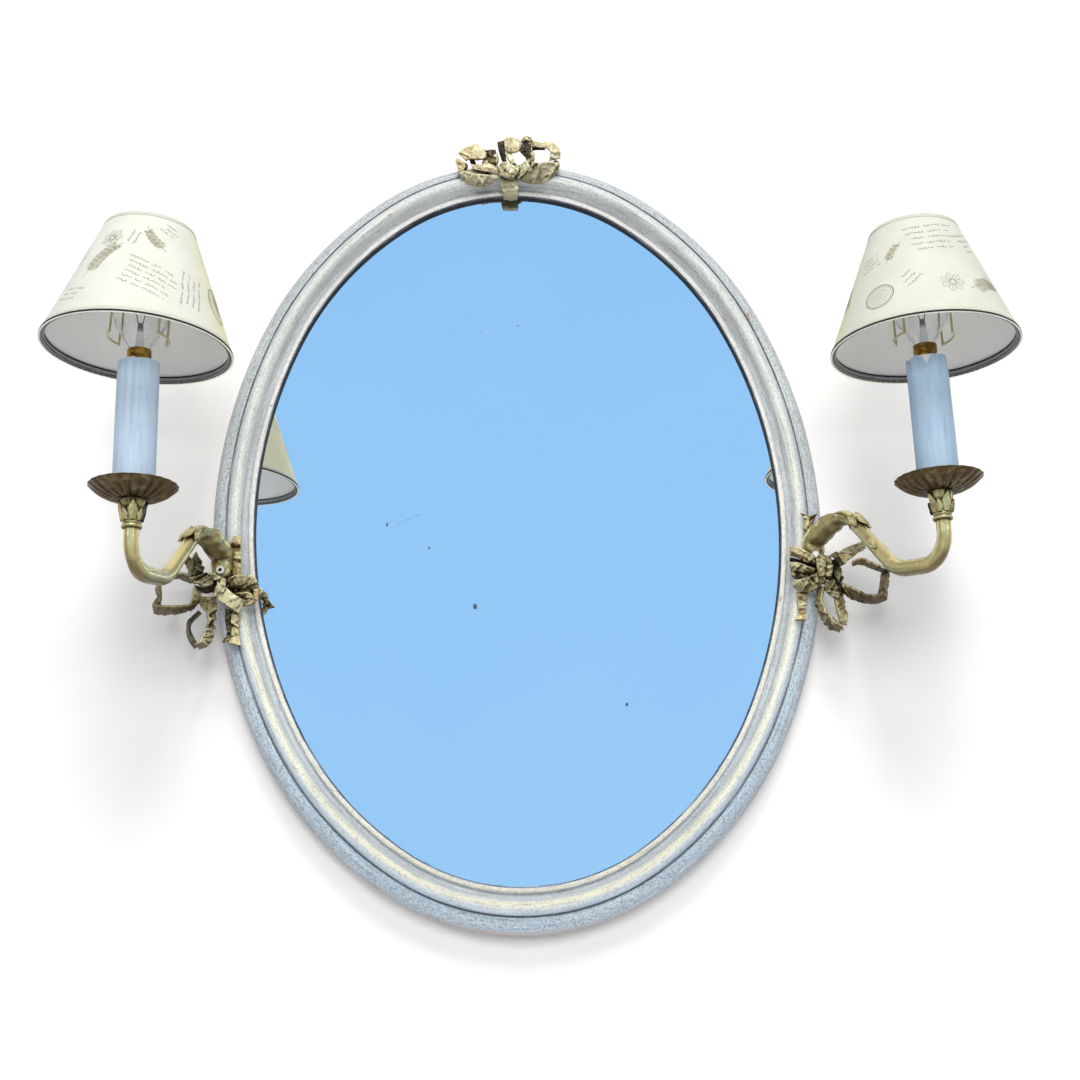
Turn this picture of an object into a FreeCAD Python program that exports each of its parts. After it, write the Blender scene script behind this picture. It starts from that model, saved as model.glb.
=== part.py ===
# Girandole mirror: oval frame with bevel-free glass, ribbon crest, two ribbon bows, two
# S-shaped candle arms with electric candles and clip-on shades. Millimetres, +Z up,
# +X right, the glass looks towards -Y, the wall is the plane Y = 0, and the origin
# is the centre of the oval on the wall.
import FreeCAD, Part
import Sketcher
import math
import os

V = FreeCAD.Vector
os.makedirs("parts", exist_ok=True)
doc = FreeCAD.newDocument("girandole_mirror")

# ------------------------------------------------------------------ driving sizes
DIMS = [
    ("outer_half_w", 218.0, "frame: half width at the outer edge"),
    ("outer_half_tall", 285.7, "frame: half height at the outer edge"),
    ("end_arc", 172.3, "frame: outer radius of the top and bottom arcs"),
    ("end_joint", 55.8, "frame: angle above the horizontal where the end arc meets the next one"),
    ("side_joint", 25.2, "frame: angle where the side arc meets the next one"),
    ("moulding_w", 31.2, "frame: width of the moulding, sight edge to outer edge"),
    ("rebate_w", 8.0, "frame: width of the rebate behind the sight lip"),
    ("back_y", 5.0, "gap between wall and frame back (bumper thickness)"),
    ("glass_front", 22.0, "glass face, distance from the wall"),
    ("glass_thick", 4.0, "glass thickness"),
    ("board_thick", 3.0, "backboard thickness"),
    ("crest_y", 34.6, "highest line of the moulding, distance from the wall"),
    ("glass_play", 2.0, "glass edge to rebate wall"),
    ("root_x", 206.5, "arm root, sideways from centre"),
    ("root_y", 38.0, "arm root axis, distance from the wall"),
    ("root_z", 36.0, "arm root, below the centre of the oval"),
    ("seat_r", 9.0, "round seat cut in the moulding for the arm pad"),
    ("seat_y", 26.0, "floor of that seat, distance from the wall"),
    ("hole_r", 5.2, "through hole for the arm stem"),
    ("cbore_r", 10.5, "counterbore at the back for the nut"),
    ("cbore_y", 17.0, "floor of the counterbore, distance from the wall"),
    ("reach", 130.5, "arm root to candle axis, seen from above"),
    ("az_left", 13.4, "left arm, degrees outward from straight ahead"),
    ("az_right", 26.2, "right arm, degrees outward from straight ahead"),
    ("rise_left", 2.0, "left candle above nominal level"),
    ("rise_right", -3.0, "right candle above nominal level"),
    ("tube_r", 4.6, "arm tube outer radius"),
    ("tube_bore", 3.0, "arm tube inner radius"),
    ("wire_r", 2.1, "lead radius"),
    ("pan_r", 27.5, "drip pan radius"),
    ("pan_rim_z", -14.0, "drip pan rim"),
    ("candle_r", 13.0, "candle sleeve outer radius"),
    ("candle_wall", 1.0, "candle sleeve wall"),
    ("candle_base_z", -20.2, "candle sleeve foot"),
    ("candle_top_z", 67.0, "candle sleeve top"),
    ("holder_top_z", 66.0, "lampholder rim"),
    ("bulb_r", 17.5, "bulb widest radius"),
    ("bulb_top_z", 147.0, "bulb tip"),
    ("grip_z", 99.5, "height at which the clip grips the bulb"),
    ("lean_left", 3.7, "left clip and shade lean, top towards +X, degrees"),
    ("lean_right", 0.0, "right clip and shade lean, degrees"),
    ("sag_left", 0.0, "left clip and shade below their nominal height"),
    ("sag_right", 3.0, "right clip and shade below their nominal height"),
    ("clip_r", 18.9, "radius of the clip wires about the bulb"),
    ("clip_wire", 0.75, "clip wire radius"),
    ("clip_low_z", 84.0, "bottom of the clip loops"),
    ("clip_hub_z", 151.0, "underside of the clip hub"),
    ("tilt_z", 154.6, "tilt axis of the shade"),
    ("shade_low_r", 60.0, "shade radius at the mouth"),
    ("shade_top_r", 28.5, "shade radius at the top"),
    ("shade_low_z", 76.0, "shade mouth"),
    ("shade_top_z", 158.0, "shade top"),
    ("skin", 0.7, "shade skin thickness"),
    ("lining", 0.4, "shade lining thickness"),
    ("ring_wire", 0.8, "shade ring wire radius"),
    ("ribbon", 2.2, "cast ribbon thickness"),
    ("box_w", 72.0, "junction box width"),
    ("box_tall", 52.0, "junction box height"),
    ("box_wall", 1.8, "junction box wall"),
    ("cover_thick", 1.4, "junction box cover thickness"),
    ("inlet_r", 3.2, "bore of the supply cable grommet"),
    ("hanger_x", 45.0, "hanger, sideways from centre"),
    ("hanger_z", 265.5, "hanger barrel above centre"),
    ("ring_r", 1.0, "hanger ring wire radius"),
]
sheet = doc.addObject("Spreadsheet::Sheet", "Dim")
for i, (name, value, note) in enumerate(DIMS, start=1):
    sheet.set("A%d" % i, note)
    sheet.set("B%d" % i, repr(value))
    sheet.setAlias("B%d" % i, name)
doc.recompute()


class Q:
    """A size: its value, and the formula that ties it to the sheet."""

    def __init__(self, val, txt=None):
        self.v = float(val)
        self.t = txt if txt is not None else "%.6g" % val

    @staticmethod
    def of(o):
        return o if isinstance(o, Q) else Q(o)

    def __add__(self, o):
        o = Q.of(o)
        return Q(self.v + o.v, "(%s + %s)" % (self.t, o.t))

    def __radd__(self, o):
        return Q.of(o) + self

    def __sub__(self, o):
        o = Q.of(o)
        return Q(self.v - o.v, "(%s - %s)" % (self.t, o.t))

    def __rsub__(self, o):
        return Q.of(o) - self

    def __mul__(self, o):
        o = Q.of(o)
        return Q(self.v * o.v, "(%s * %s)" % (self.t, o.t))

    def __rmul__(self, o):
        return Q.of(o) * self

    def __truediv__(self, o):
        o = Q.of(o)
        return Q(self.v / o.v, "(%s / %s)" % (self.t, o.t))

    def __neg__(self):
        return Q(-self.v, "(-1 * %s)" % self.t)

    def sin(self):
        return Q(math.sin(math.radians(self.v)), "sin(%s)" % self.t)

    def cos(self):
        return Q(math.cos(math.radians(self.v)), "cos(%s)" % self.t)


D = {name: Q(value, "Dim." + name) for name, value, note in DIMS}


def val(o):
    return Q.of(o).v


def bind(obj, prop, q):
    q = Q.of(q)
    if "Dim." in q.t:
        obj.setExpression(prop, q.t)
    else:
        setattr(obj, prop, q.v)


def place(obj, x=0, y=0, z=0, axis=None, angle=0):
    """Placement with its base, and its angle, tied to the sheet."""
    rot = FreeCAD.Rotation(V(*(axis or (0, 0, 1))), val(angle))
    obj.Placement = FreeCAD.Placement(V(val(x), val(y), val(z)), rot)
    for prop, q in (("x", x), ("y", y), ("z", z)):
        if "Dim." in Q.of(q).t:
            obj.setExpression("Placement.Base." + prop, Q.of(q).t)
    if "Dim." in Q.of(angle).t:
        obj.setExpression("Placement.Rotation.Angle", Q.of(angle).t)
    return obj


NODES = {}


def node(obj, label):
    obj.Label = label
    NODES[label] = obj
    return obj


# ------------------------------------------------------------------ sketches and bodies
def origin_plane(body, role):
    for feat in body.Origin.OriginFeatures:
        if feat.Role == role:
            return feat
    raise RuntimeError("no plane " + role)


def sketch_on(body, name, role, offset=None):
    sk = body.newObject("Sketcher::SketchObject", name)
    sk.AttachmentSupport = [(origin_plane(body, role), "")]
    sk.MapMode = "FlatFace"
    if offset is not None:
        sk.AttachmentOffset = FreeCAD.Placement(V(0, 0, val(offset)), FreeCAD.Rotation())
        if "Dim." in Q.of(offset).t:
            sk.setExpression("AttachmentOffset.Base.z", Q.of(offset).t)
    return sk


def fix_coord(sk, kind, geo, pos, q, tag):
    q = Q.of(q)
    if abs(q.v) < 1e-9 and "Dim." not in q.t:
        sk.addConstraint(Sketcher.Constraint("PointOnObject", geo, pos, -2 if kind == "DistanceX" else -1))
        return
    n = sk.addConstraint(Sketcher.Constraint(kind, -1, 1, geo, pos, q.v))
    sk.renameConstraint(n, tag)
    if "Dim." in q.t:
        sk.setExpression("Constraints." + tag, q.t)


def add_loop(sk, pts, tag):
    """A closed outline of straight edges, every corner dimensioned from the origin."""
    base = sk.GeometryCount
    count = len(pts)
    vals = [(val(a), val(b)) for a, b in pts]
    for k in range(count):
        a, b = vals[k], vals[(k + 1) % count]
        sk.addGeometry(Part.LineSegment(V(a[0], a[1], 0), V(b[0], b[1], 0)), False)
    for k in range(count):
        sk.addConstraint(Sketcher.Constraint("Coincident", base + k, 2, base + (k + 1) % count, 1))
    for k, (a, b) in enumerate(pts):
        fix_coord(sk, "DistanceX", base + k, 1, a, "%sx%d" % (tag, k))
        fix_coord(sk, "DistanceY", base + k, 1, b, "%sy%d" % (tag, k))


def add_circle(sk, cx, cy, r, tag):
    base = sk.GeometryCount
    sk.addGeometry(Part.Circle(V(val(cx), val(cy), 0), V(0, 0, 1), val(r)), False)
    fix_coord(sk, "DistanceX", base, 3, cx, tag + "cx")
    fix_coord(sk, "DistanceY", base, 3, cy, tag + "cy")
    n = sk.addConstraint(Sketcher.Constraint("Radius", base, val(r)))
    sk.renameConstraint(n, tag + "rad")
    if "Dim." in Q.of(r).t:
        sk.setExpression("Constraints." + tag + "rad", Q.of(r).t)


def new_body(name):
    return doc.addObject("PartDesign::Body", name)


def turned(name, loops):
    """A body turned about the vertical axis from outlines given as (radius, height)."""
    body = new_body(name)
    sk = sketch_on(body, name + "_outline", "XZ_Plane")
    for k, pts in enumerate(loops):
        add_loop(sk, pts, "p%d" % k)
    rev = body.newObject("PartDesign::Revolution", name + "_turn")
    rev.Profile = sk
    rev.ReferenceAxis = (sk, ["V_Axis"])
    rev.Angle = 360.0
    body.Tip = rev
    return body


def padded(name, role, loops, circles, length, offset=None, backwards=False):
    body = new_body(name)
    sk = sketch_on(body, name + "_outline", role, offset)
    for k, pts in enumerate(loops):
        add_loop(sk, pts, "p%d" % k)
    for k, (cx, cy, r) in enumerate(circles):
        add_circle(sk, cx, cy, r, "c%d" % k)
    pad = body.newObject("PartDesign::Pad", name + "_pad")
    pad.Profile = sk
    bind(pad, "Length", length)
    pad.Reversed = backwards
    body.Tip = pad
    return body


def rect(x0, x1, y0, y1):
    return [(x0, y0), (x1, y0), (x1, y1), (x0, y1)]


# ------------------------------------------------------------------ primitives
def cyl(name, r, length, x=0, y=0, z=0, along="Z"):
    """Cylinder that starts at x, y, z and runs in the + direction of its axis."""
    c = doc.addObject("Part::Cylinder", name)
    bind(c, "Radius", r)
    bind(c, "Height", length)
    spin = {"Z": (None, 0), "X": ((0, 1, 0), 90), "Y": ((1, 0, 0), -90)}[along]
    return place(c, x, y, z, spin[0], spin[1])


def box(name, dx, dy, dz, x=0, y=0, z=0):
    b = doc.addObject("Part::Box", name)
    bind(b, "Length", dx)
    bind(b, "Width", dy)
    bind(b, "Height", dz)
    return place(b, x, y, z)


def ball(name, r, x=0, y=0, z=0):
    s = doc.addObject("Part::Sphere", name)
    bind(s, "Radius", r)
    return place(s, x, y, z)


def ellipsoid(name, rx, ry, rz, x=0, y=0, z=0):
    e = doc.addObject("Part::Ellipsoid", name)
    bind(e, "Radius1", rz)
    bind(e, "Radius2", rx)
    bind(e, "Radius3", ry)
    return place(e, x, y, z)


def oval(name, half_w, half_tall, thick, y):
    """Oval plate that stands in the XZ plane, from y forward (towards -Y) by thick."""
    e = doc.addObject("Part::Ellipse", name + "_edge")
    tall = val(half_tall) >= val(half_w)
    bind(e, "MajorRadius", half_tall if tall else half_w)
    bind(e, "MinorRadius", half_w if tall else half_tall)
    ex = doc.addObject("Part::Extrusion", name + "_plate")
    ex.Base = e
    ex.DirMode = "Custom"
    ex.Dir = V(0, 0, 1)
    bind(ex, "LengthFwd", thick)
    ex.Solid = True
    # the ellipse lies in XY with its major axis along X: stand it up
    rot = FreeCAD.Rotation(V(1, 0, 0), 90)
    if tall:
        rot = rot.multiply(FreeCAD.Rotation(V(0, 0, 1), 90))
    ex.Placement = FreeCAD.Placement(V(0, val(y), 0), rot)
    if "Dim." in Q.of(y).t:
        ex.setExpression("Placement.Base.y", Q.of(y).t)
    return ex


def fuse(name, parts):
    f = doc.addObject("Part::MultiFuse", name)
    f.Shapes = parts
    return f


def cut(name, base, tool):
    c = doc.addObject("Part::Cut", name)
    c.Base = base
    c.Tool = tool
    return c


# ------------------------------------------------------------------ oval frame
# The oval is drawn with three radii a quarter, tangent to each other, as a joiner sets one
# out: the end radius and the two joint angles are chosen, the other radii follow.
gf, cr, bk = D["glass_front"], D["crest_y"], D["back_y"]
PROFILE = [  # (distance out from the sight edge, distance from the wall)
    (0.0, gf), (0.0, gf + 3.0), (1.0, gf + 4.6), (2.6, gf + 5.0), (4.2, gf + 4.3), (5.0, gf + 3.0),
    (6.6, gf + 3.2), (8.2, cr - 7.4), (9.4, cr - 3.6), (11.0, cr - 1.0), (13.0, cr), (15.4, cr - 0.6),
    (17.6, cr - 2.6), (18.9, cr - 5.0), (19.1, cr - 6.8), (19.8, cr - 6.8), (20.1, cr - 5.4),
    (22.6, cr - 5.8), (25.6, cr - 7.6), (28.4, cr - 11.0), (30.4, cr - 15.1), (31.2, cr - 18.1),
    (31.2, cr - 24.6), (29.5, bk), (8.0, bk), (8.0, gf)]
W_, T_, R1 = D["outer_half_w"], D["outer_half_tall"], D["end_arc"]
ca, sa, cb, sb = D["end_joint"].cos(), D["end_joint"].sin(), D["side_joint"].cos(), D["side_joint"].sin()
a1, b1, c1 = cb - ca, 1 - cb, W_ - R1 * ca
a2, b2, c2 = sb - sa, -1 * sb, -1 * (T_ - R1 + R1 * sa)
det = a1 * b2 - a2 * b1
R2 = (c1 * b2 - c2 * b1) / det
R3 = (a1 * c2 - a2 * c1) / det
mid_x, mid_z = (R2 - R1) * ca, T_ - R1 - (R2 - R1) * sa
side_x = R3 - W_


def frame_section(name, radius):
    """The moulding's section, set at one arc's radius from the vertical axis of turning."""
    sk = doc.addObject("Sketcher::SketchObject", name)
    add_loop(sk, [(radius - D["moulding_w"] + d, -1 * Q.of(o)) for d, o in PROFILE], "m")
    return sk


sections = {"end": frame_section("section_end", R1), "mid": frame_section("section_mid", R2),
            "side": frame_section("section_side", R3)}


def frame_arc(name, kind, cx, cz, start, turn):
    """One arc of the moulding: start angle from +X towards +Z, and the angle it covers."""
    rv = doc.addObject("Part::Revolution", name)
    rv.Source = sections[kind]
    rv.Axis = V(0, -1, 0)
    rv.Base = V(0, 0, 0)
    rv.Solid = True
    bind(rv, "Angle", turn)
    return place(rv, cx, 0, cz, (0, -1, 0), start)


ej, sj = D["end_joint"], D["side_joint"]
arcs = [
    frame_arc("moulding_top", "end", 0, T_ - R1, ej, 180 - 2 * ej),
    frame_arc("moulding_bottom", "end", 0, R1 - T_, 180 + ej, 180 - 2 * ej),
    frame_arc("moulding_right", "side", -1 * side_x, 0, 360 - sj, 2 * sj),
    frame_arc("moulding_left", "side", side_x, 0, 180 - sj, 2 * sj),
    frame_arc("moulding_q1", "mid", -1 * mid_x, mid_z, sj, ej - sj),
    frame_arc("moulding_q2", "mid", mid_x, mid_z, 180 - ej, ej - sj),
    frame_arc("moulding_q3", "mid", mid_x, -1 * mid_z, 180 + sj, ej - sj),
    frame_arc("moulding_q4", "mid", -1 * mid_x, -1 * mid_z, 360 - ej, ej - sj)]
frame_pipe = fuse("moulding_ring", arcs)

cuts = []
for side, sgn in (("left", -1), ("right", 1)):
    x = sgn * D["root_x"]
    cuts.append(cyl(side + "_seat_cut", D["seat_r"], 30, x, -1 * D["seat_y"] - 30, -1 * D["root_z"], "Y"))
    cuts.append(cyl(side + "_stem_cut", D["hole_r"], 40, x, -45, -1 * D["root_z"], "Y"))
    cuts.append(cyl(side + "_nut_cut", D["cbore_r"], D["cbore_y"], x, -1 * D["cbore_y"], -1 * D["root_z"], "Y"))
    cuts.append(box(side + "_lead_cut", 22, 12, 9, x - (22 if sgn > 0 else 0), -15, -1 * D["root_z"] - 4.5))
oval_frame = node(cut("oval_frame", frame_pipe, fuse("frame_cuts", cuts)), "oval_frame")

# ------------------------------------------------------------------ glass and back
glass_w = D["outer_half_w"] - D["moulding_w"] + D["rebate_w"] - D["glass_play"]
glass_tall = D["outer_half_tall"] - D["moulding_w"] + D["rebate_w"] - D["glass_play"]
board_y = -1 * (D["glass_front"] - D["glass_thick"])
back_face = board_y + D["board_thick"]
node(oval("mirror_glass", glass_w, glass_tall, D["glass_thick"], board_y), "mirror_glass")
node(oval("backboard", glass_w, glass_tall, D["board_thick"], back_face), "backboard")

# brads driven sideways into the rebate wall, half of each standing over the board
brads = []
for k in range(12):
    t = math.radians(15 + 30 * k)
    ca, sa = math.cos(t), math.sin(t)
    # point on the rebate wall and its outward normal
    px, pz = val(glass_w + D["glass_play"]) * sa, val(glass_tall + D["glass_play"]) * ca
    nx, nz = sa / val(glass_w), ca / val(glass_tall)
    ln = math.hypot(nx, nz)
    nx, nz = nx / ln, nz / ln
    c = doc.addObject("Part::Cylinder", "brad_%d" % k)
    c.Radius, c.Height = 0.8, 14.0
    c.Placement = FreeCAD.Placement(V(px - 7 * nx, 0, pz - 7 * nz), FreeCAD.Rotation(V(0, 0, 1), V(nx, 0, nz)))
    c.setExpression("Placement.Base.y", (back_face + 0.9).t)
    brads.append(c)
node(fuse("backboard_brads", brads), "backboard_brads")

# soft bumpers between frame back and wall
pads = []
for k, (sx, sz) in enumerate(((-1, 1), (1, 1), (-1, -1), (1, -1))):
    pads.append(cyl("bumper_%d" % k, 6, D["back_y"], sx * 95.0, -1 * D["back_y"], sz * 244.5, "Y"))
node(fuse("wall_bumpers", pads), "wall_bumpers")

# ------------------------------------------------------------------ hangers
hy = -1 * D["back_y"] + 2.3
for side, sgn in (("left", -1), ("right", 1)):
    hx = sgn * D["hanger_x"]
    plate = box(side + "_hanger_strap", 14, 1.0, 11, hx - 7, -1 * D["back_y"], D["hanger_z"] - 11)
    neck = box(side + "_hanger_neck", 9, 1.6, 2.2, hx - 4.5, -1 * D["back_y"], D["hanger_z"] - 2)
    barrel = cyl(side + "_hanger_barrel", 2.2, 9, hx - 4.5, hy, D["hanger_z"], "X")
    bore = cyl(side + "_barrel_bore", D["ring_r"] + 0.08, 20, hx - 10, hy, D["hanger_z"], "X")
    hole = cyl(side + "_strap_hole", 1.6, 4, hx, -7, D["hanger_z"] - 6, "Y")
    node(cut(side + "_hanger_plate", fuse(side + "_strap_blank", [plate, neck, barrel]),
             fuse(side + "_strap_holes", [bore, hole])), side + "_hanger_plate")
    bars = [cyl(side + "_ring_low", D["ring_r"], 15, hx - 7.5, hy, D["hanger_z"], "X"),
            cyl(side + "_ring_top", D["ring_r"], 15, hx - 7.5, hy, D["hanger_z"] + 10, "X")]
    for e in (-1, 1):
        bars.append(cyl(side + "_ring_side%d" % (e + 1), D["ring_r"], 10, hx + e * 7.5, hy, D["hanger_z"], "Z"))
        bars.append(ball(side + "_ring_cor%d" % (e + 1), D["ring_r"] * 1.12, hx + e * 7.5, hy, D["hanger_z"]))
        bars.append(ball(side + "_ring_cot%d" % (e + 1), D["ring_r"] * 1.12, hx + e * 7.5, hy, D["hanger_z"] + 10))
    node(fuse(side + "_hanger_ring", bars), side + "_hanger_ring")
screws = []
for sgn in (-1, 1):
    hx = sgn * D["hanger_x"]
    screws.append(fuse("hanger_screw_%d" % (sgn + 1), [
        cyl("hs_head%d" % (sgn + 1), 2.6, 0.9, hx, -1 * D["back_y"] + 1.0, D["hanger_z"] - 6, "Y"),
        cyl("hs_shank%d" % (sgn + 1), 1.4, 14, hx, -1 * D["back_y"] - 13, D["hanger_z"] - 6, "Y")]))
node(fuse("hanger_screws", screws), "hanger_screws")

# ------------------------------------------------------------------ junction box behind the glass
bw, bt, bwall = D["box_w"], D["box_tall"], D["box_wall"]
cover_face = Q(-1.4)                                   # back of the cover, just clear of the wall
box_back = cover_face - D["cover_thick"]               # open rim of the tray
depth = box_back - back_face                           # tray depth, board to rim
tray = box("tray_blank", bw, depth, bt, -1 * bw / 2, back_face, -1 * bt / 2)
room = box("tray_room", bw - 2 * bwall, depth, bt - 2 * bwall, -1 * bw / 2 + bwall, back_face + bwall, -1 * bt / 2 + bwall)
lead_hole = cyl("tray_lead_hole", D["wire_r"] + 0.2, bw + 10, -1 * bw / 2 - 5, -10.0, -8.0, "X")
posts = [cyl("tray_post_%d" % k, 3.2, depth - 0.2, sx * 28.0, back_face, sz * 18.0, "Y")
         for k, (sx, sz) in enumerate(((-1, 1), (1, -1)))]
node(cut("junction_box", fuse("tray_with_posts", [cut("tray_shell", tray, room)] + posts), lead_hole), "junction_box")
lid = box("lid_blank", bw, D["cover_thick"], bt, -1 * bw / 2, box_back, -1 * bt / 2)
inlet = cyl("lid_inlet", D["inlet_r"] + 1.4, 8, 0, -6, -15.0, "Y")
node(cut("junction_box_cover", lid, inlet), "junction_box_cover")
g_body = fuse("grommet_blank", [
    cyl("grommet_neck", D["inlet_r"] + 1.4, 4.2, 0, box_back - 1.4, -15.0, "Y"),
    cyl("grommet_in", D["inlet_r"] + 2.8, 1.4, 0, box_back - 1.4, -15.0, "Y"),
    cyl("grommet_out", D["inlet_r"] + 2.8, 1.2, 0, box_back + D["cover_thick"], -15.0, "Y")])
node(cut("cable_grommet", g_body, cyl("grommet_bore", D["inlet_r"], 12, 0, -8, -15.0, "Y")), "cable_grommet")
term = box("terminal_blank", 30, 6.8, 14, -15, back_face + bwall, 4)
holes = [cyl("terminal_hole_%d" % k, 1.6, 20, -9 + 9 * k, back_face + bwall + 3.4, 1, "Z") for k in range(3)]
node(cut("terminal_block", term, fuse("terminal_holes", holes)), "terminal_block")
bs = []
for k, (sx, sz) in enumerate(((-1, -1), (1, 1))):
    bs.append(fuse("tray_screw_%d" % k, [
        cyl("ts_head%d" % k, 2.8, 1.6, sx * 27.0, back_face + bwall, sz * 17.0, "Y"),
        cyl("ts_shank%d" % k, 1.4, 4.4, sx * 27.0, back_face + bwall - 4.3, sz * 17.0, "Y")]))
for k, (sx, sz) in enumerate(((-1, 1), (1, -1))):
    bs.append(fuse("cover_screw_%d" % k, [
        cyl("cs_head%d" % k, 2.8, 1.2, sx * 28.0, cover_face, sz * 18.0, "Y"),
        cyl("cs_shank%d" % k, 1.4, 6.5, sx * 28.0, cover_face - 6.4, sz * 18.0, "Y")]))
node(fuse("box_screws", bs), "box_screws")

# ------------------------------------------------------------------ arms
# centreline in the arm's own plane: first number forward from the root axis, second height.
# Corner points with the bend radius at each; the last two rise with the candle.
REACH = D["reach"]


def arm_points(rise):
    r = val(rise)
    R = val(REACH)
    return [(0, -36), (0, -24), (36, -12), (84, -62 + r), (R, -68 + r), (R, -34 + r)], [10, 20, 28, 18]


def corner_arcs(pts, radii):
    """Arc centres and tangent points of a route with rounded corners."""
    out = []
    for k, rad in enumerate(radii):
        a, b, c = (V(*pts[k], 0) if len(pts[k]) == 2 else V(*pts[k]) for k in (k, k + 1, k + 2))
        u, w = (a - b).normalize(), (c - b).normalize()
        half = math.acos(max(-1, min(1, u.dot(w)))) / 2
        reach = rad / math.tan(half)
        mid = (u + w).normalize()
        centre = b + mid * (rad / math.sin(half))
        out.append((b + u * reach, centre - mid * rad, b + w * reach, centre))
    return out


def sweep_arm(name, side, radius):
    """Solid of one radius along the arm's centreline, in the arm's own frame."""
    rise = D["rise_" + side]
    pts, radii = arm_points(rise)
    body = new_body(name)
    path = sketch_on(body, name + "_path", "YZ_Plane")
    arcs = corner_arcs([(-p[0], p[1]) for p in pts], radii)
    prev = V(-pts[0][0], pts[0][1], 0)
    ids = []
    for t0, m, t1, c in arcs:
        ids.append(("L", path.addGeometry(Part.LineSegment(prev, t0), False)))
        arc = Part.Arc(t0, m, t1)
        ids.append(("A", path.addGeometry(arc, False), c, radii[len(ids) // 2]))
        prev = t1
    ids.append(("L", path.addGeometry(Part.LineSegment(prev, V(-pts[-1][0], pts[-1][1], 0)), False)))
    for k in range(len(ids) - 1):
        a, b = ids[k], ids[k + 1]
        pa = 2
        pb = 1
        if a[0] == "A":
            # an arc is stored anticlockwise, so its far end may be its start
            far = arcs[k // 2][2]
            pa = 1 if (path.getPoint(a[1], 1) - far).Length < 1e-5 else 2
        if b[0] == "A":
            near = arcs[(k + 1) // 2][0]
            pb = 1 if (path.getPoint(b[1], 1) - near).Length < 1e-5 else 2
        path.addConstraint(Sketcher.Constraint("Tangent", a[1], pa, b[1], pb))
    for k, item in enumerate([i for i in ids if i[0] == "A"]):
        n = path.addConstraint(Sketcher.Constraint("Radius", item[1], item[3]))
        path.renameConstraint(n, "bend%d" % k)
    path.addConstraint(Sketcher.Constraint("PointOnObject", ids[0][1], 1, -2))
    path.addConstraint(Sketcher.Constraint("PointOnObject", ids[0][1], 2, -2))
    fix_coord(path, "DistanceY", ids[0][1], 1, -1 * D["root_z"], "rootz")
    last = ids[-1][1]
    path.addConstraint(Sketcher.Constraint("Vertical", last))
    fix_coord(path, "DistanceX", last, 2, -1 * REACH, "endy")
    fix_coord(path, "DistanceY", last, 2, rise - 34, "endz")
    arcs_ids = [i[1] for i in ids if i[0] == "A"]
    fix_coord(path, "DistanceY", arcs_ids[0], 3, arcs[0][3].y, "c0z")
    fix_coord(path, "DistanceX", arcs_ids[1], 3, arcs[1][3].x, "c1y")
    fix_coord(path, "DistanceY", arcs_ids[1], 3, arcs[1][3].y, "c1z")
    fix_coord(path, "DistanceX", arcs_ids[2], 3, arcs[2][3].x, "c2y")
    fix_coord(path, "DistanceY", arcs_ids[2], 3, rise + (arcs[2][3].y - val(rise)), "c2z")
    fix_coord(path, "DistanceY", arcs_ids[3], 3, rise + (arcs[3][3].y - val(rise)), "c3z")
    ring = sketch_on(body, name + "_ring", "XY_Plane", -1 * D["root_z"])
    add_circle(ring, 0, 0, radius, "c")
    p = body.newObject("PartDesign::AdditivePipe", name + "_sweep")
    p.Profile = ring
    p.Spine = (path, ["Edge%d" % (k + 1) for k in range(len(ids))])
    body.Tip = p
    return body


def arm_frame(obj, side, sgn):
    """Stand an arm-plane body at its root, swung outward by its azimuth."""
    return place(obj, sgn * D["root_x"], -1 * D["root_y"], 0, (0, 0, 1), sgn * D["az_" + side])


def lamp_at(side, sgn):
    az = D["az_" + side]
    return (sgn * (D["root_x"] + REACH * az.sin()), -1 * (D["root_y"] + REACH * az.cos()), D["rise_" + side])


def leaned(obj, side, lx, ly, sz, c=0):
    """Stand an upright body, whose own origin is c above the lamp level, on the leaning axis of clip and shade."""
    h, phi = D["grip_z"], D["lean_" + side]
    return place(obj, lx + (c - h) * phi.sin(), ly, sz + h + (c - h) * phi.cos(), (0, 1, 0), phi)


def tipped(obj, side, lx, sz):
    """Swing a finished, upright solid about the grip point of the clip."""
    phi = D["lean_" + side]
    px, pz = lx, sz + D["grip_z"]
    return place(obj, px - px * phi.cos() - pz * phi.sin(), 0, pz + px * phi.sin() - pz * phi.cos(), (0, 1, 0), phi)


def route(points, radii):
    arcs = corner_arcs(points, radii)
    edges = []
    prev = V(*points[0])
    for t0, m, t1, c in arcs:
        if (t0 - prev).Length > 1e-4:
            edges.append(Part.LineSegment(prev, t0).toShape())
        edges.append(Part.Arc(t0, m, t1).toShape())
        prev = t1
    edges.append(Part.LineSegment(prev, V(*points[-1])).toShape())
    return Part.Wire(edges)


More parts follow.
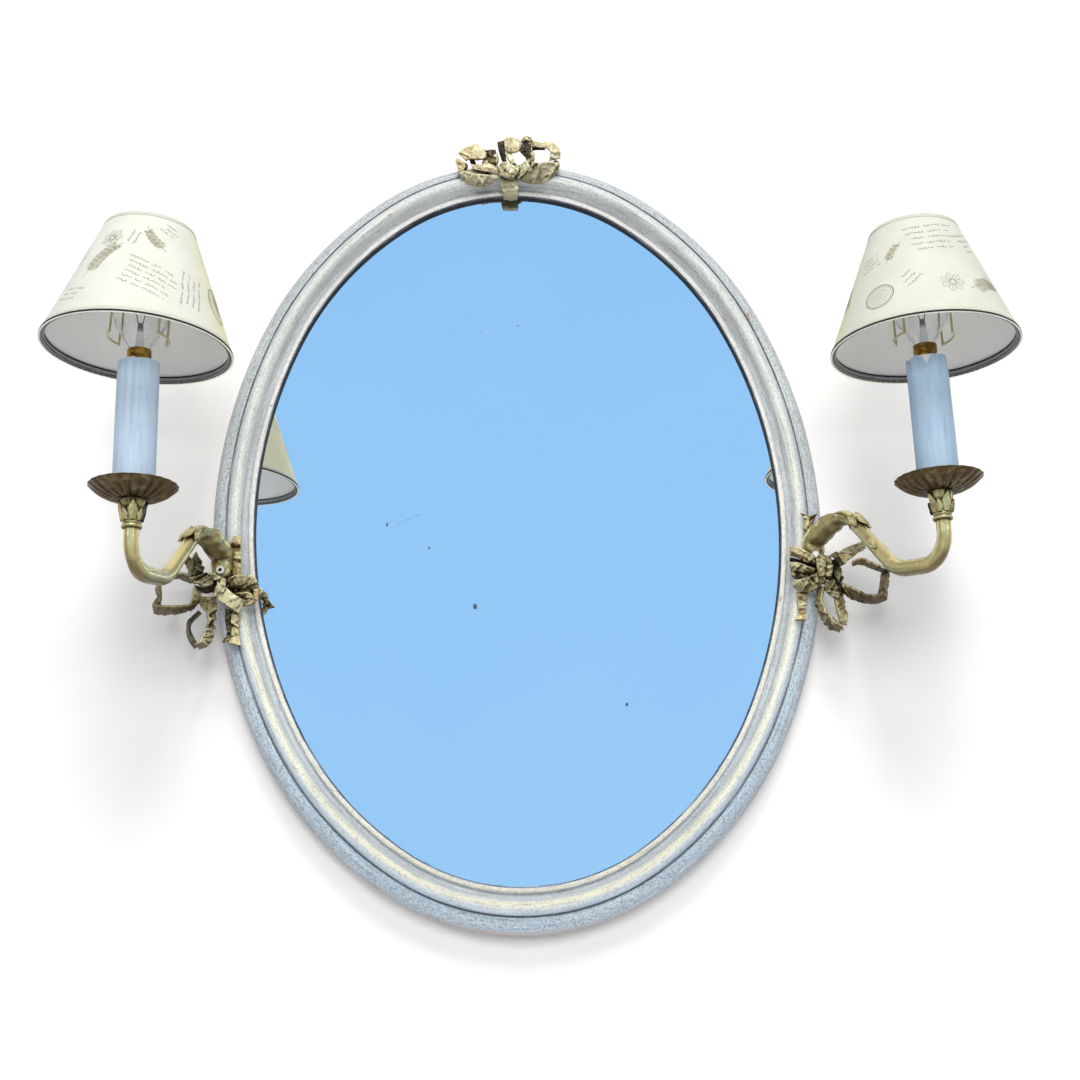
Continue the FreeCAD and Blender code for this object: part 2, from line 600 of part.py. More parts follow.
for side, sgn in (("left", -1), ("right", 1)):
    rx, rz = sgn * D["root_x"], -1 * D["root_z"]
    lx, ly, lz = lamp_at(side, sgn)
    sz = lz - D["sag_" + side]

    # ---- arm: cast root with a threaded stem, and a bent tube, bored through for the lead
    tube = arm_frame(sweep_arm(side + "_arm_tube", side, D["tube_r"]), side, sgn)
    bore = arm_frame(sweep_arm(side + "_arm_bore", side, D["tube_bore"]), side, sgn)
    solid = [tube,
             cyl(side + "_arm_pad", D["seat_r"] - 0.2, 5.0, rx, -1 * D["seat_y"] - 5.0, rz, "Y"),
             cyl(side + "_arm_boss", 6.4, D["root_y"] + 5.6 - D["seat_y"], rx, -1 * D["root_y"] - 5.6, rz, "Y"),
             ball(side + "_arm_heel", 6.6, rx, -1 * D["root_y"], rz),
             cyl(side + "_arm_stem", D["hole_r"] - 0.2, D["seat_y"] - 13.5, rx, -1 * D["seat_y"], rz, "Y")]
    hollow = [bore,
              cyl(side + "_stem_bore", D["tube_bore"], D["root_y"], rx, -1 * D["root_y"] - D["tube_bore"] * 0.5, rz, "Y"),
              ball(side + "_heel_bore", D["tube_bore"] + 0.2, rx, -1 * D["root_y"], rz),
              cyl(side + "_end_bore", D["tube_bore"], 6, lx, ly, lz - 38, "Z"),
              cyl(side + "_screw_hole", 1.25, 3.2, rx, -1 * D["root_y"] - 6.0, rz, "Y")]
    node(cut(side + "_arm", fuse(side + "_arm_solid", solid), fuse(side + "_arm_hollow", hollow)), side + "_arm")

    # ---- nut behind the frame, screw with a white head in the root
    nut = doc.addObject("Part::Prism", side + "_nut_blank")
    nut.Polygon = 6
    nut.Circumradius = 8.6
    nut.Height = 4.0
    place(nut, rx, -1 * D["cbore_y"], rz, (1, 0, 0), -90)
    node(cut(side + "_arm_nut", nut, cyl(side + "_nut_bore", D["hole_r"] - 0.15, 10, rx, -1 * D["cbore_y"] - 3, rz, "Y")), side + "_arm_nut")
    node(fuse(side + "_arm_screw", [
        cyl(side + "_as_shank", 1.2, 3.4, rx, -1 * D["root_y"] - 6.6, rz, "Y"),
        cyl(side + "_as_neck", 2.4, 0.9, rx, -1 * D["root_y"] - 6.6 - 0.8, rz, "Y"),
        ellipsoid(side + "_as_head", 3.0, 1.6, 3.0, rx, -1 * D["root_y"] - 7.6, rz)]), side + "_arm_screw")

    # ---- cup, nipple, pan, holder, candle
    cup = turned(side + "_socket_cup_body", [[
        (D["tube_r"] + 0.05, -41.0), (5.9, -41.0), (6.3, -40.2), (6.3, -39.0), (5.6, -38.2), (5.5, -36.5), (6.0, -32.0),
        (6.9, -26.5), (7.8, -22.8), (7.8, -22.2), (5.1, -22.2), (5.1, -34.0), (D["tube_r"] + 0.05, -34.0)]])
    node(place(cup, lx, ly, lz), side + "_socket_cup")
    nip = turned(side + "_nipple_body", [[(3.6, -33.6), (5.0, -33.6), (5.0, -9.0), (3.6, -9.0)]])
    node(place(nip, lx, ly, lz), side + "_nipple")
    pr, pz = D["pan_r"], D["pan_rim_z"]
    pan = turned(side + "_pan_body", [[
        (5.15, -22.2), (8.0, -22.2), (14.0, pz - 7.2), (19.5, pz - 4.8), (24.0, pz - 2.6), (pr - 0.3, pz - 0.6), (pr, pz),
        (pr - 0.7, pz + 0.3), (23.6, pz - 1.4), (19.0, pz - 3.6), (13.6, pz - 6.1), (11.0, -21.0), (5.15, -21.0)]])
    node(place(pan, lx, ly, lz), side + "_drip_pan")
    ht = D["holder_top_z"]
    holder = turned(side + "_holder_body", [[
        (5.05, -21.0), (8.2, -21.0), (8.2, -12.0), (6.2, -9.0), (6.2, 34.0), (10.8, 38.0), (10.8, ht),
        (7.4, ht), (7.4, 45.5), (3.6, 45.5), (3.6, -8.6), (5.05, -8.6)]])
    node(place(holder, lx, ly, lz), side + "_lampholder")
    cr_, cb, ct = D["candle_r"], D["candle_base_z"], D["candle_top_z"]
    ci = cr_ - D["candle_wall"]
    sleeve = turned(side + "_sleeve_body", [[(ci, cb), (cr_, cb), (cr_, ct - 0.4), (cr_ - 0.4, ct), (ci, ct)]])
    if side == "right":
        # the paper is torn away at the rim, towards the front and the middle
        nsk = sketch_on(sleeve, "tear_outline", "XZ_Plane")
        add_loop(nsk, [(-9.0, ct + 1.0), (-7.4, ct - 3.0), (-4.2, ct - 5.4), (-0.6, ct - 4.2), (0.8, ct + 1.0)], "t")
        tear = sleeve.newObject("PartDesign::Pocket", "tear")
        tear.Profile = nsk
        tear.Length = 20.0
        tear.Reversed = True
        sleeve.Tip = tear
    node(place(sleeve, lx, ly, lz), side + "_candle_sleeve")

    # ---- bulb
    cap = turned(side + "_cap_body", [[
        (0, 46.6), (3.2, 46.6), (3.2, 48.6), (6.4, 51.0), (6.9, 52.0), (6.9, 70.0), (7.5, 71.0), (7.5, 75.6),
        (6.4, 75.6), (6.4, 72.0), (0, 72.0)]])
    node(place(cap, lx, ly, lz), side + "_bulb_cap")
    br, bz = D["bulb_r"], D["bulb_top_z"]
    outer = [(6.3, 72.1), (6.3, 76.0), (8.2, 80.0), (12.6, 87.0), (16.0, 93.0), (br, 99.5), (17.1, 106.0), (15.4, 114.0),
             (12.2, 122.5), (8.4, 131.0), (5.0, 138.4), (2.6, 143.4), (1.2, bz - 0.9), (0, bz)]
    inner = [(0, bz - 1.2), (0.7, bz - 2.0), (1.8, 143.0), (4.2, 138.1), (7.6, 130.6), (11.4, 122.1), (14.6, 113.7),
             (16.3, 105.8), (br - 0.8, 99.5), (15.2, 93.3), (11.9, 87.4), (7.5, 80.4), (5.5, 76.4), (5.5, 72.1)]
    glass = turned(side + "_glass_body", [outer + inner])
    node(place(glass, lx, ly, lz), side + "_bulb_glass")
    stem = doc.addObject("Part::Cone", side + "_stem_cone")
    stem.Radius1, stem.Radius2, stem.Height = 3.4, 1.6, 22.0
    place(stem, lx, ly, lz + 72.05)
    wires = [stem]
    for e in (-1, 1):
        w = doc.addObject("Part::Cylinder", side + "_support_%d" % (e + 1))
        w.Radius, w.Height = 0.35, 26.0
        place(w, lx + e * 1.0, ly, lz + 92.0, (0, 1, 0), e * 12.0)
        wires.append(w)
    top = 92.0 + 25.7 * math.cos(math.radians(12))
    half = 1.0 + 25.7 * math.sin(math.radians(12))
    wires.append(cyl(side + "_coil", 0.55, 2 * half, lx - half, ly, lz + top, "X"))
    node(fuse(side + "_bulb_filament", wires), side + "_bulb_filament")

    # ---- clip that grips the bulb: hub plate with a pivot pin, two wire loops
    cw, crr, cz, hz = D["clip_wire"], D["clip_r"], D["clip_low_z"], D["clip_hub_z"]
    parts = [cyl(side + "_clip_hub", crr + 0.25, 1.0, lx, ly, sz + hz, "Z"),
             cyl(side + "_clip_pin", 2.0, 6.4, lx, ly, sz + hz, "Z")]
    span = 36.0
    for e, start in ((0, -span), (1, 180 - span)):
        rim = doc.addObject("Part::Circle", side + "_loop_rim_%d" % e)
        bind(rim, "Radius", cw)
        place(rim, crr, 0, 0, (1, 0, 0), 90)
        t = doc.addObject("Part::Revolution", side + "_loop_%d" % e)
        t.Source = rim
        t.Axis = V(0, 0, 1)
        t.Base = V(0, 0, 0)
        t.Angle = 2 * span
        t.Solid = True
        place(t, lx, ly, sz + cz, (0, 0, 1), start)
        parts.append(t)
        for f in (-1, 1):
            a = math.radians(start + span + f * span)
            wx, wy = lx + crr * math.cos(a), ly + crr * math.sin(a)
            parts.append(cyl(side + "_clip_leg%d%d" % (e, f + 1), cw, hz - cz + 0.5, wx, wy, sz + cz, "Z"))
            parts.append(ball(side + "_clip_cor%d%d" % (e, f + 1), cw * 1.2, wx, wy, sz + cz))
    node(tipped(fuse(side + "_bulb_clip", parts), side, lx, sz), side + "_bulb_clip")

    # ---- gimbal bar: turns on the clip pin, its two end pins carry the shade ring
    tz = D["tilt_z"]
    bar = box(side + "_gimbal_bar", 46, 5, 2.6, lx - 23, ly - 2.5, sz + tz - 1.3)
    hub = cyl(side + "_gimbal_hub", 4.6, 3.6, lx, ly, sz + tz - 1.8, "Z")
    pins = [cyl(side + "_gimbal_pin%d" % k, 1.0, 4.4, lx + x0, ly, sz + tz, "X") for k, x0 in enumerate((22.5, -26.9))]
    gb = cyl(side + "_gimbal_bore", 2.05, 12, lx, ly, sz + tz - 6, "Z")
    node(tipped(cut(side + "_shade_gimbal", fuse(side + "_gimbal_solid", [bar, hub] + pins), gb), side, lx, sz), side + "_shade_gimbal")

    # ---- shade: skin, lining, wires and bindings
    r0, r1, z0, z1 = D["shade_low_r"], D["shade_top_r"], D["shade_low_z"], D["shade_top_z"]
    sk_, li = D["skin"], D["lining"]
    shade = turned(side + "_shade_body", [[(r0 - sk_, z0), (r0, z0), (r1, z1), (r1 - sk_, z1)]])
    node(leaned(shade, side, lx, ly, sz), side + "_shade")
    lining = turned(side + "_lining_body", [[(r0 - sk_ - li, z0), (r0 - sk_, z0), (r1 - sk_, z1), (r1 - sk_ - li, z1)]])
    node(leaned(lining, side, lx, ly, sz), side + "_shade_lining")
    slope = (r0 - r1) / (z1 - z0)
    rw = D["ring_wire"]
    rt = r1 - sk_ - li + 1.4 * slope - rw * 1.1
    tor = doc.addObject("Part::Torus", side + "_top_wire")
    bind(tor, "Radius1", rt)
    bind(tor, "Radius2", rw)
    place(tor, lx, ly, sz + z1 - 1.4)
    lugs = []
    for k, e in enumerate((-1, 1)):
        blank = box(side + "_lug_%d" % k, 2.2, 4.4, 4.0, lx + (e * 26.3) - 1.1, ly - 2.2, sz + tz - 2.2)
        lugs.append(blank)
    lug_bore = cyl(side + "_lug_bore", 1.06, 60, lx - 30, ly, sz + tz, "X")
    node(tipped(cut(side + "_shade_top_ring", fuse(side + "_ring_solid", [tor] + lugs), lug_bore), side, lx, sz), side + "_shade_top_ring")
    low = doc.addObject("Part::Torus", side + "_shade_bottom_ring")
    bind(low, "Radius1", r0 - sk_ - li - 1.4 * slope - rw * 1.1)
    bind(low, "Radius2", rw)
    node(leaned(low, side, lx, ly, sz, z0 + 1.4), side + "_shade_bottom_ring")
    tt = 0.35
    trim = turned(side + "_trim_body", [
        [(r0 + 0.02, z0), (r0 + tt, z0), (r0 + tt - 3.4 * slope, z0 + 3.4), (r0 + 0.02 - 3.4 * slope, z0 + 3.4)],
        [(r1 + 0.02 + 2.4 * slope, z1 - 2.4), (r1 + tt + 2.4 * slope, z1 - 2.4), (r1 + tt, z1), (r1 + 0.02, z1)]])
    node(leaned(trim, side, lx, ly, sz), side + "_shade_trim")

    # ---- lead: from the box, through the frame, up the arm to the lampholder
    apts, arad = arm_points(D["rise_" + side])
    az = math.radians(val(D["az_" + side]))
    fw = (sgn * math.sin(az), -math.cos(az))
    X0 = sgn * val(D["root_x"])
    yb = -10.0
    p3 = [(sgn * (val(bw) / 2 - 6), yb, -8.0), (sgn * 96.0, yb, -8.0), (sgn * 158.0, yb, -36.0), (X0, yb, -36.0), (X0, -38.0, -36.0)]
    for s, z in apts[1:]:
        p3.append((X0 + fw[0] * s, -38.0 + fw[1] * s, z))
    p3[-1] = (p3[-1][0], p3[-1][1], 45.0 + val(D["rise_" + side]))
    lead = doc.addObject("Part::Feature", side + "_lead")
    w = route(p3, [60, 60, 5.2, 4.0] + arad)
    start, nxt = V(*p3[0]), V(*p3[1])
    disc = Part.Wire(Part.makeCircle(val(D["wire_r"]), start, (nxt - start).normalize()))
    lead.Shape = w.makePipeShell([disc], True, False)
    node(lead, side + "_lead")

# staples that hold the leads on the backboard
staples = []
for k, (x, z) in enumerate(((-62.0, -8.0), (62.0, -8.0), (-172.0, -36.0), (172.0, -36.0))):
    b = box("staple_%d" % k, 5, 7.6, 8, x - 2.5, back_face, z - 4)
    c = cyl("staple_bore_%d" % k, D["wire_r"] + 0.1, 12, x - 6, -10.0, z, "X")
    staples.append(cut("staple_cut_%d" % k, b, c))
node(fuse("lead_staples", staples), "lead_staples")


# ------------------------------------------------------------------ ribbon bows
def ribbon_ring(name, cx, cz, half_w, half_tall, turn, y_front, width, thick=None):
    """Flattened loop of ribbon standing on edge: its width runs in depth."""
    thick = D["ribbon"] if thick is None else thick
    out = []
    for part, less in (("out", 0), ("in", thick)):
        e = doc.addObject("Part::Ellipse", "%s_%s_edge" % (name, part))
        bind(e, "MajorRadius", half_w - less if less != 0 else half_w)
        bind(e, "MinorRadius", half_tall - less if less != 0 else half_tall)
        ex = doc.addObject("Part::Extrusion", "%s_%s" % (name, part))
        ex.Base = e
        ex.DirMode = "Custom"
        ex.Dir = V(0, 0, 1)
        ex.LengthFwd = width
        ex.Solid = True
        rot = FreeCAD.Rotation(V(0, 1, 0), turn).multiply(FreeCAD.Rotation(V(1, 0, 0), 90))
        ex.Placement = FreeCAD.Placement(V(cx, y_front + width, cz), rot)
        out.append(ex)
    return cut(name, out[0], out[1])


def ribbon_bar(name, x0, z0, x1, z1, wide, y_front, thick):
    """Straight ribbon end between two points, facing forward."""
    ln = math.hypot(x1 - x0, z1 - z0)
    b = box(name, ln, thick, wide)
    ang = -math.degrees(math.atan2(z1 - z0, x1 - x0))
    rot = FreeCAD.Rotation(V(0, 1, 0), ang)
    b.Placement = FreeCAD.Placement(V(x0, y_front, z0) + rot.multVec(V(0, 0, -wide / 2)), rot)
    return b


BOWS = {
    "left": dict(
        rings=[(-190.5, -50.5, 11.5, 9.5, 20, -46.0, 14.0), (-193.5, -42.0, 7.5, 5.0, 0, -46.5, 14.0),
               (-238.0, -53.0, 15.5, 12.8, 0, -45.0, 12.0), (-219.0, -76.5, 13.8, 8.6, 100, -45.0, 12.0)],
        bars=[(-197.5, -11.0, -196.0, -44.0, 9.0, -38.5, 9.0), (-198.0, -50.0, -197.5, -87.0, 9.5, -38.5, 9.0),
              (-226.0, -46.0, -203.0, -47.5, 5.0, -44.0, 9.0), (-214.5, -64.0, -203.5, -50.5, 5.0, -44.0, 9.0)],
        knot=(-202.0, -38.5, -47.0, 7.0, 9.0, 6.5)),
    "right": dict(
        rings=[(194.5, -44.0, 12.8, 10.4, 70, -46.0, 14.0), (201.5, -39.5, 7.0, 5.0, 0, -46.5, 14.0),
               (240.5, -55.5, 14.6, 12.6, 0, -45.0, 12.0), (217.5, -74.5, 15.2, 7.4, 82, -45.0, 12.0)],
        bars=[(205.0, -4.5, 202.0, -41.0, 9.5, -38.5, 9.0), (203.0, -50.0, 194.0, -81.0, 8.5, -38.5, 9.0),
              (210.0, -44.5, 233.0, -47.5, 5.0, -44.0, 9.0), (210.5, -47.5, 216.0, -62.0, 5.0, -44.0, 9.0)],
        knot=(211.0, -38.5, -45.5, 7.0, 9.0, 6.5)),
}
for side, sgn in (("left", -1), ("right", 1)):
    spec = BOWS[side]
    pieces = [ribbon_ring("%s_bow_ring%d" % (side, k), *r) for k, r in enumerate(spec["rings"])]
    pieces += [ribbon_bar("%s_bow_bar%d" % (side, k), *b) for k, b in enumerate(spec["bars"])]
    kx, ky, kz, ka, kb, kc = spec["knot"]
    pieces.append(ellipsoid(side + "_bow_knot", ka, kb, kc, kx, ky, kz))
    clear = [arm_frame(sweep_arm(side + "_arm_clear", side, D["tube_r"] + 0.5), side, sgn),
             cyl(side + "_boss_clear", 7.1, 40, sgn * D["root_x"], -65, -1 * D["root_z"], "Y"),
             cyl(side + "_pad_clear", D["seat_r"] + 0.1, 10, sgn * D["root_x"], -1 * D["seat_y"] - 5.3, -1 * D["root_z"], "Y")]
    blank = cut(side + "_bow_over_arm", fuse(side + "_bow_blank", pieces), fuse(side + "_bow_clear", clear))
    node(cut(side + "_bow", blank, oval_frame), side + "_bow")

crest = [ribbon_ring("crest_ring%d" % k, *r) for k, r in enumerate([
    (-24.0, 275.5, 17.5, 13.0, 8, -44.0, 18.0), (21.5, 277.5, 18.5, 14.0, -10, -44.0, 18.0),
    (-24.0, 283.0, 11.0, 9.5, 20, -43.0, 16.0), (-5.0, 288.5, 10.5, 8.0, 70, -43.0, 16.0),
    (11.0, 287.5, 9.5, 7.6, 100, -43.0, 16.0)])]
crest += [ribbon_bar("crest_tail", -2.0, 270.0, -2.6, 247.0, 11.5, -38.5, 12.0),
          ellipsoid("crest_knot", 11.0, 11.0, 8.0, 1.0, -35.0, 269.5),
          ribbon_bar("crest_left_face", -37.0, 270.0, -8.0, 266.0, 9.0, -43.0, 4.0),
          ribbon_bar("crest_right_face", 6.0, 266.5, 36.0, 272.0, 10.0, -43.0, 4.0)]
node(cut("crest_bow", fuse("crest_blank", crest), oval_frame), "crest_bow")
pins = []
for k, x in enumerate((-14.0, 16.0)):
    pins.append(fuse("crest_pin_%d" % k, [
        cyl("crest_pin_head_%d" % k, 1.8, 0.9, x, -43.9, 267.5, "Y"),
        cyl("crest_pin_shank_%d" % k, 0.8, 22, x, -43.0, 267.5, "Y")]))
node(fuse("crest_pins", pins), "crest_pins")

# ------------------------------------------------------------------ check and write
doc.recompute()
bad = []
for obj in doc.Objects:
    state = [str(s) for s in getattr(obj, "State", [])]
    if "Invalid" in state or "Error" in state:
        bad.append("%s: %s" % (obj.Name, state))
for name, obj in NODES.items():
    shape = obj.Shape
    if shape.isNull() or not shape.isValid() or shape.Volume <= 0:
        bad.append("%s: shape null, invalid or empty" % name)
    if obj.Label != name:
        bad.append("%s: label is %s" % (name, obj.Label))
if bad:
    raise SystemExit("part not written:\n" + "\n".join(bad))
if len(NODES) > 60:
    raise SystemExit("too many nodes: %d" % len(NODES))
for name, obj in sorted(NODES.items()):
    obj.Shape.exportStep("parts/%s.step" % name)
    bb = obj.Shape.BoundBox
    print("%-28s vol %10.1f solids %2d  x %7.1f %7.1f  y %7.1f %7.1f  z %7.1f %7.1f" % (
        name, obj.Shape.Volume, len(obj.Shape.Solids), bb.XMin, bb.XMax, bb.YMin, bb.YMax, bb.ZMin, bb.ZMax))
print(len(NODES), "nodes")
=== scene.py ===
import bmesh
import bpy
import math
import random
import numpy as np
from mathutils import Vector, Matrix, noise
from mathutils.bvhtree import BVHTree


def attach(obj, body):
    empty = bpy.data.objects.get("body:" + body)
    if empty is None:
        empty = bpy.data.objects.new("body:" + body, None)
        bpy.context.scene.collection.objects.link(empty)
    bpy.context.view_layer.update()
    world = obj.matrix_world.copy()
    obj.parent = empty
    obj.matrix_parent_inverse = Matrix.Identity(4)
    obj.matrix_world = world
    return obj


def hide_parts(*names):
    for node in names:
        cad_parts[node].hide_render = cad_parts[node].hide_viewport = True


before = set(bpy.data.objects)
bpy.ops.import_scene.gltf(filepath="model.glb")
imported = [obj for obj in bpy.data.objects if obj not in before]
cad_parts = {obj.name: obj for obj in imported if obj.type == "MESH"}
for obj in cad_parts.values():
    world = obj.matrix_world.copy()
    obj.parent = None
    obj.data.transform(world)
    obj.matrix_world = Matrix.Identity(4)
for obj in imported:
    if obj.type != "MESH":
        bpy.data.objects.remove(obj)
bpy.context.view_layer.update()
MM = 0.001
scene = bpy.context.scene
scene.view_settings.view_transform = "Standard"
scene.view_settings.look = "None"

# Places in millimetres, in the row frame.
LAMP = {"left": (-236.743, -164.947, 2.0), "right": (264.117, -155.092, -3.0)}
AZIM = {"left": 13.4, "right": 26.2}
RISE = {"left": 2.0, "right": -3.0}
SGN = {"left": -1.0, "right": 1.0}
BODY = "frame_and_arms"
LEAN = {"left": 3.7, "right": 0.0}
SAG = {"left": 0.0, "right": 3.0}
GRIP = 99.5


def leaned(side, obj):
    """Swings a finished shade piece about the point where its clip grips the bulb."""
    lx, ly, lz = LAMP[side]
    a = math.radians(LEAN[side])
    c, s_ = math.cos(a), math.sin(a)
    px, pz = lx * 0.001, (lz - SAG[side] + GRIP) * 0.001
    for v in obj.data.vertices:
        dx, dz = v.co.x - px, v.co.z - pz
        v.co.x = px + dx * c + dz * s_
        v.co.z = pz - dx * s_ + dz * c
    obj.data.update()


# ------------------------------------------------------------------ camera
def make_camera():
    th, rho, psi = math.radians(15.14), math.radians(-1.77), math.radians(1.16)
    f = np.array([math.sin(psi) * math.cos(th), math.cos(psi) * math.cos(th), math.sin(th)])
    r = np.array([math.cos(psi), -math.sin(psi), 0.0])
    u = np.cross(r, f)
    r2 = math.cos(rho) * r + math.sin(rho) * u
    u2 = -math.sin(rho) * r + math.cos(rho) * u
    data = bpy.data.cameras.new("Camera")
    data.sensor_fit = "HORIZONTAL"
    data.sensor_width = 36.0
    data.lens = 49.0
    data.clip_start = 0.02
    data.clip_end = 60.0
    cam = bpy.data.objects.new("Camera", data)
    scene.collection.objects.link(cam)
    m = Matrix.Identity(4)
    for k in range(3):
        m[k][0], m[k][1], m[k][2] = r2[k], u2[k], -f[k]
    m[0][3], m[1][3], m[2][3] = -0.00511, -1.03271, -0.28761
    cam.matrix_world = m
    scene.camera = cam
    return cam


camera = make_camera()


# ------------------------------------------------------------------ shader helper
def lin(r, g, b):
    """0-255 display colour to a linear one."""
    out = []
    for c in (r, g, b):
        c /= 255.0
        out.append(c / 12.92 if c <= 0.04045 else ((c + 0.055) / 1.055) ** 2.4)
    return (out[0], out[1], out[2], 1.0)


class Mat:
    def __init__(self, name):
        self.m = bpy.data.materials.new(name)
        self.m.use_nodes = True
        self.t = self.m.node_tree
        self.b = self.t.nodes["Principled BSDF"]
        self.o = self.t.nodes["Material Output"]

    def put(self, sock, v):
        if isinstance(v, bpy.types.NodeSocket):
            self.t.links.new(v, sock)
        elif isinstance(v, (tuple, list)) and len(v) == 3 and sock.type == "RGBA":
            sock.default_value = (v[0], v[1], v[2], 1.0)
        else:
            sock.default_value = v

    def node(self, kind, ins=None, **props):
        nd = self.t.nodes.new(kind)
        for k, v in props.items():
            setattr(nd, k, v)
        for k, v in (ins or {}).items():
            self.put(nd.inputs[k], v)
        return nd

    def pos(self):
        return self.node("ShaderNodeTexCoord").outputs["Object"]

    def attr(self, name):
        return self.node("ShaderNodeAttribute", attribute_name=name).outputs["Fac"]

    def vattr(self, name):
        return self.node("ShaderNodeAttribute", attribute_name=name).outputs["Vector"]

    def xyz(self, vec):
        s = self.node("ShaderNodeSeparateXYZ", {0: vec})
        return s.outputs[0], s.outputs[1], s.outputs[2]

    def vec(self, x, y, z):
        return self.node("ShaderNodeCombineXYZ", {0: x, 1: y, 2: z}).outputs[0]

    def scaled(self, vec, xyz, loc=(0, 0, 0)):
        nd = self.node("ShaderNodeMapping", {"Vector": vec})
        nd.inputs["Scale"].default_value = xyz
        nd.inputs["Location"].default_value = loc
        return nd.outputs[0]

    def noise(self, vec, scale, detail=4.0, rough=0.55, dist=0.0, out="Fac"):
        nd = self.node("ShaderNodeTexNoise", {"Vector": vec, "Scale": scale, "Detail": detail, "Roughness": rough, "Distortion": dist})
        return nd.outputs[out]

    def voronoi(self, vec, scale, feature="F1", out="Distance", rand=1.0):
        nd = self.node("ShaderNodeTexVoronoi", {"Vector": vec, "Scale": scale, "Randomness": rand}, feature=feature)
        return nd.outputs[out]

    def ramp(self, fac, stops, interp="LINEAR"):
        nd = self.node("ShaderNodeValToRGB", {"Fac": fac})
        cr = nd.color_ramp
        cr.interpolation = interp
        while len(cr.elements) < len(stops):
            cr.elements.new(0.5)
        for e, (p, c) in zip(cr.elements, stops):
            e.position = p
            e.color = c if len(c) == 4 else (c[0], c[1], c[2], 1.0)
        return nd.outputs["Color"]

    def cmix(self, f, a, b, blend="MIX"):
        nd = self.node("ShaderNodeMix", data_type="RGBA", blend_type=blend)
        self.put(nd.inputs[0], f)
        self.put(nd.inputs[6], a)
        self.put(nd.inputs[7], b)
        return nd.outputs[2]

    def fmix(self, f, a, b):
        nd = self.node("ShaderNodeMix", data_type="FLOAT")
        self.put(nd.inputs[0], f)
        self.put(nd.inputs[2], a)
        self.put(nd.inputs[3], b)
        return nd.outputs[0]

    def op(self, kind, a, b=0.0, c=0.0, clamp=False):
        nd = self.node("ShaderNodeMath", {0: a, 1: b, 2: c}, operation=kind)
        nd.use_clamp = clamp
        return nd.outputs[0]

    def step(self, x, lo, hi, a=0.0, b=1.0):
        nd = self.node("ShaderNodeMapRange", {"Value": x, "From Min": lo, "From Max": hi, "To Min": a, "To Max": b},
                       interpolation_type="SMOOTHSTEP")
        return nd.outputs[0]

    def bump(self, h, strength, dist, normal=None):
        nd = self.node("ShaderNodeBump", {"Height": h, "Strength": strength, "Distance": dist})
        if normal is not None:
            self.put(nd.inputs["Normal"], normal)
        return nd.outputs[0]

    def set(self, **kw):
        names = {"color": "Base Color", "rough": "Roughness", "metal": "Metallic", "normal": "Normal", "ior": "IOR",
                 "trans": "Transmission Weight", "coat": "Coat Weight", "coat_rough": "Coat Roughness",
                 "sheen": "Sheen Weight", "spec": "Specular IOR Level", "alpha": "Alpha", "sub": "Subsurface Weight"}
        for k, v in kw.items():
            self.put(self.b.inputs[names[k]], v)
        return self.m


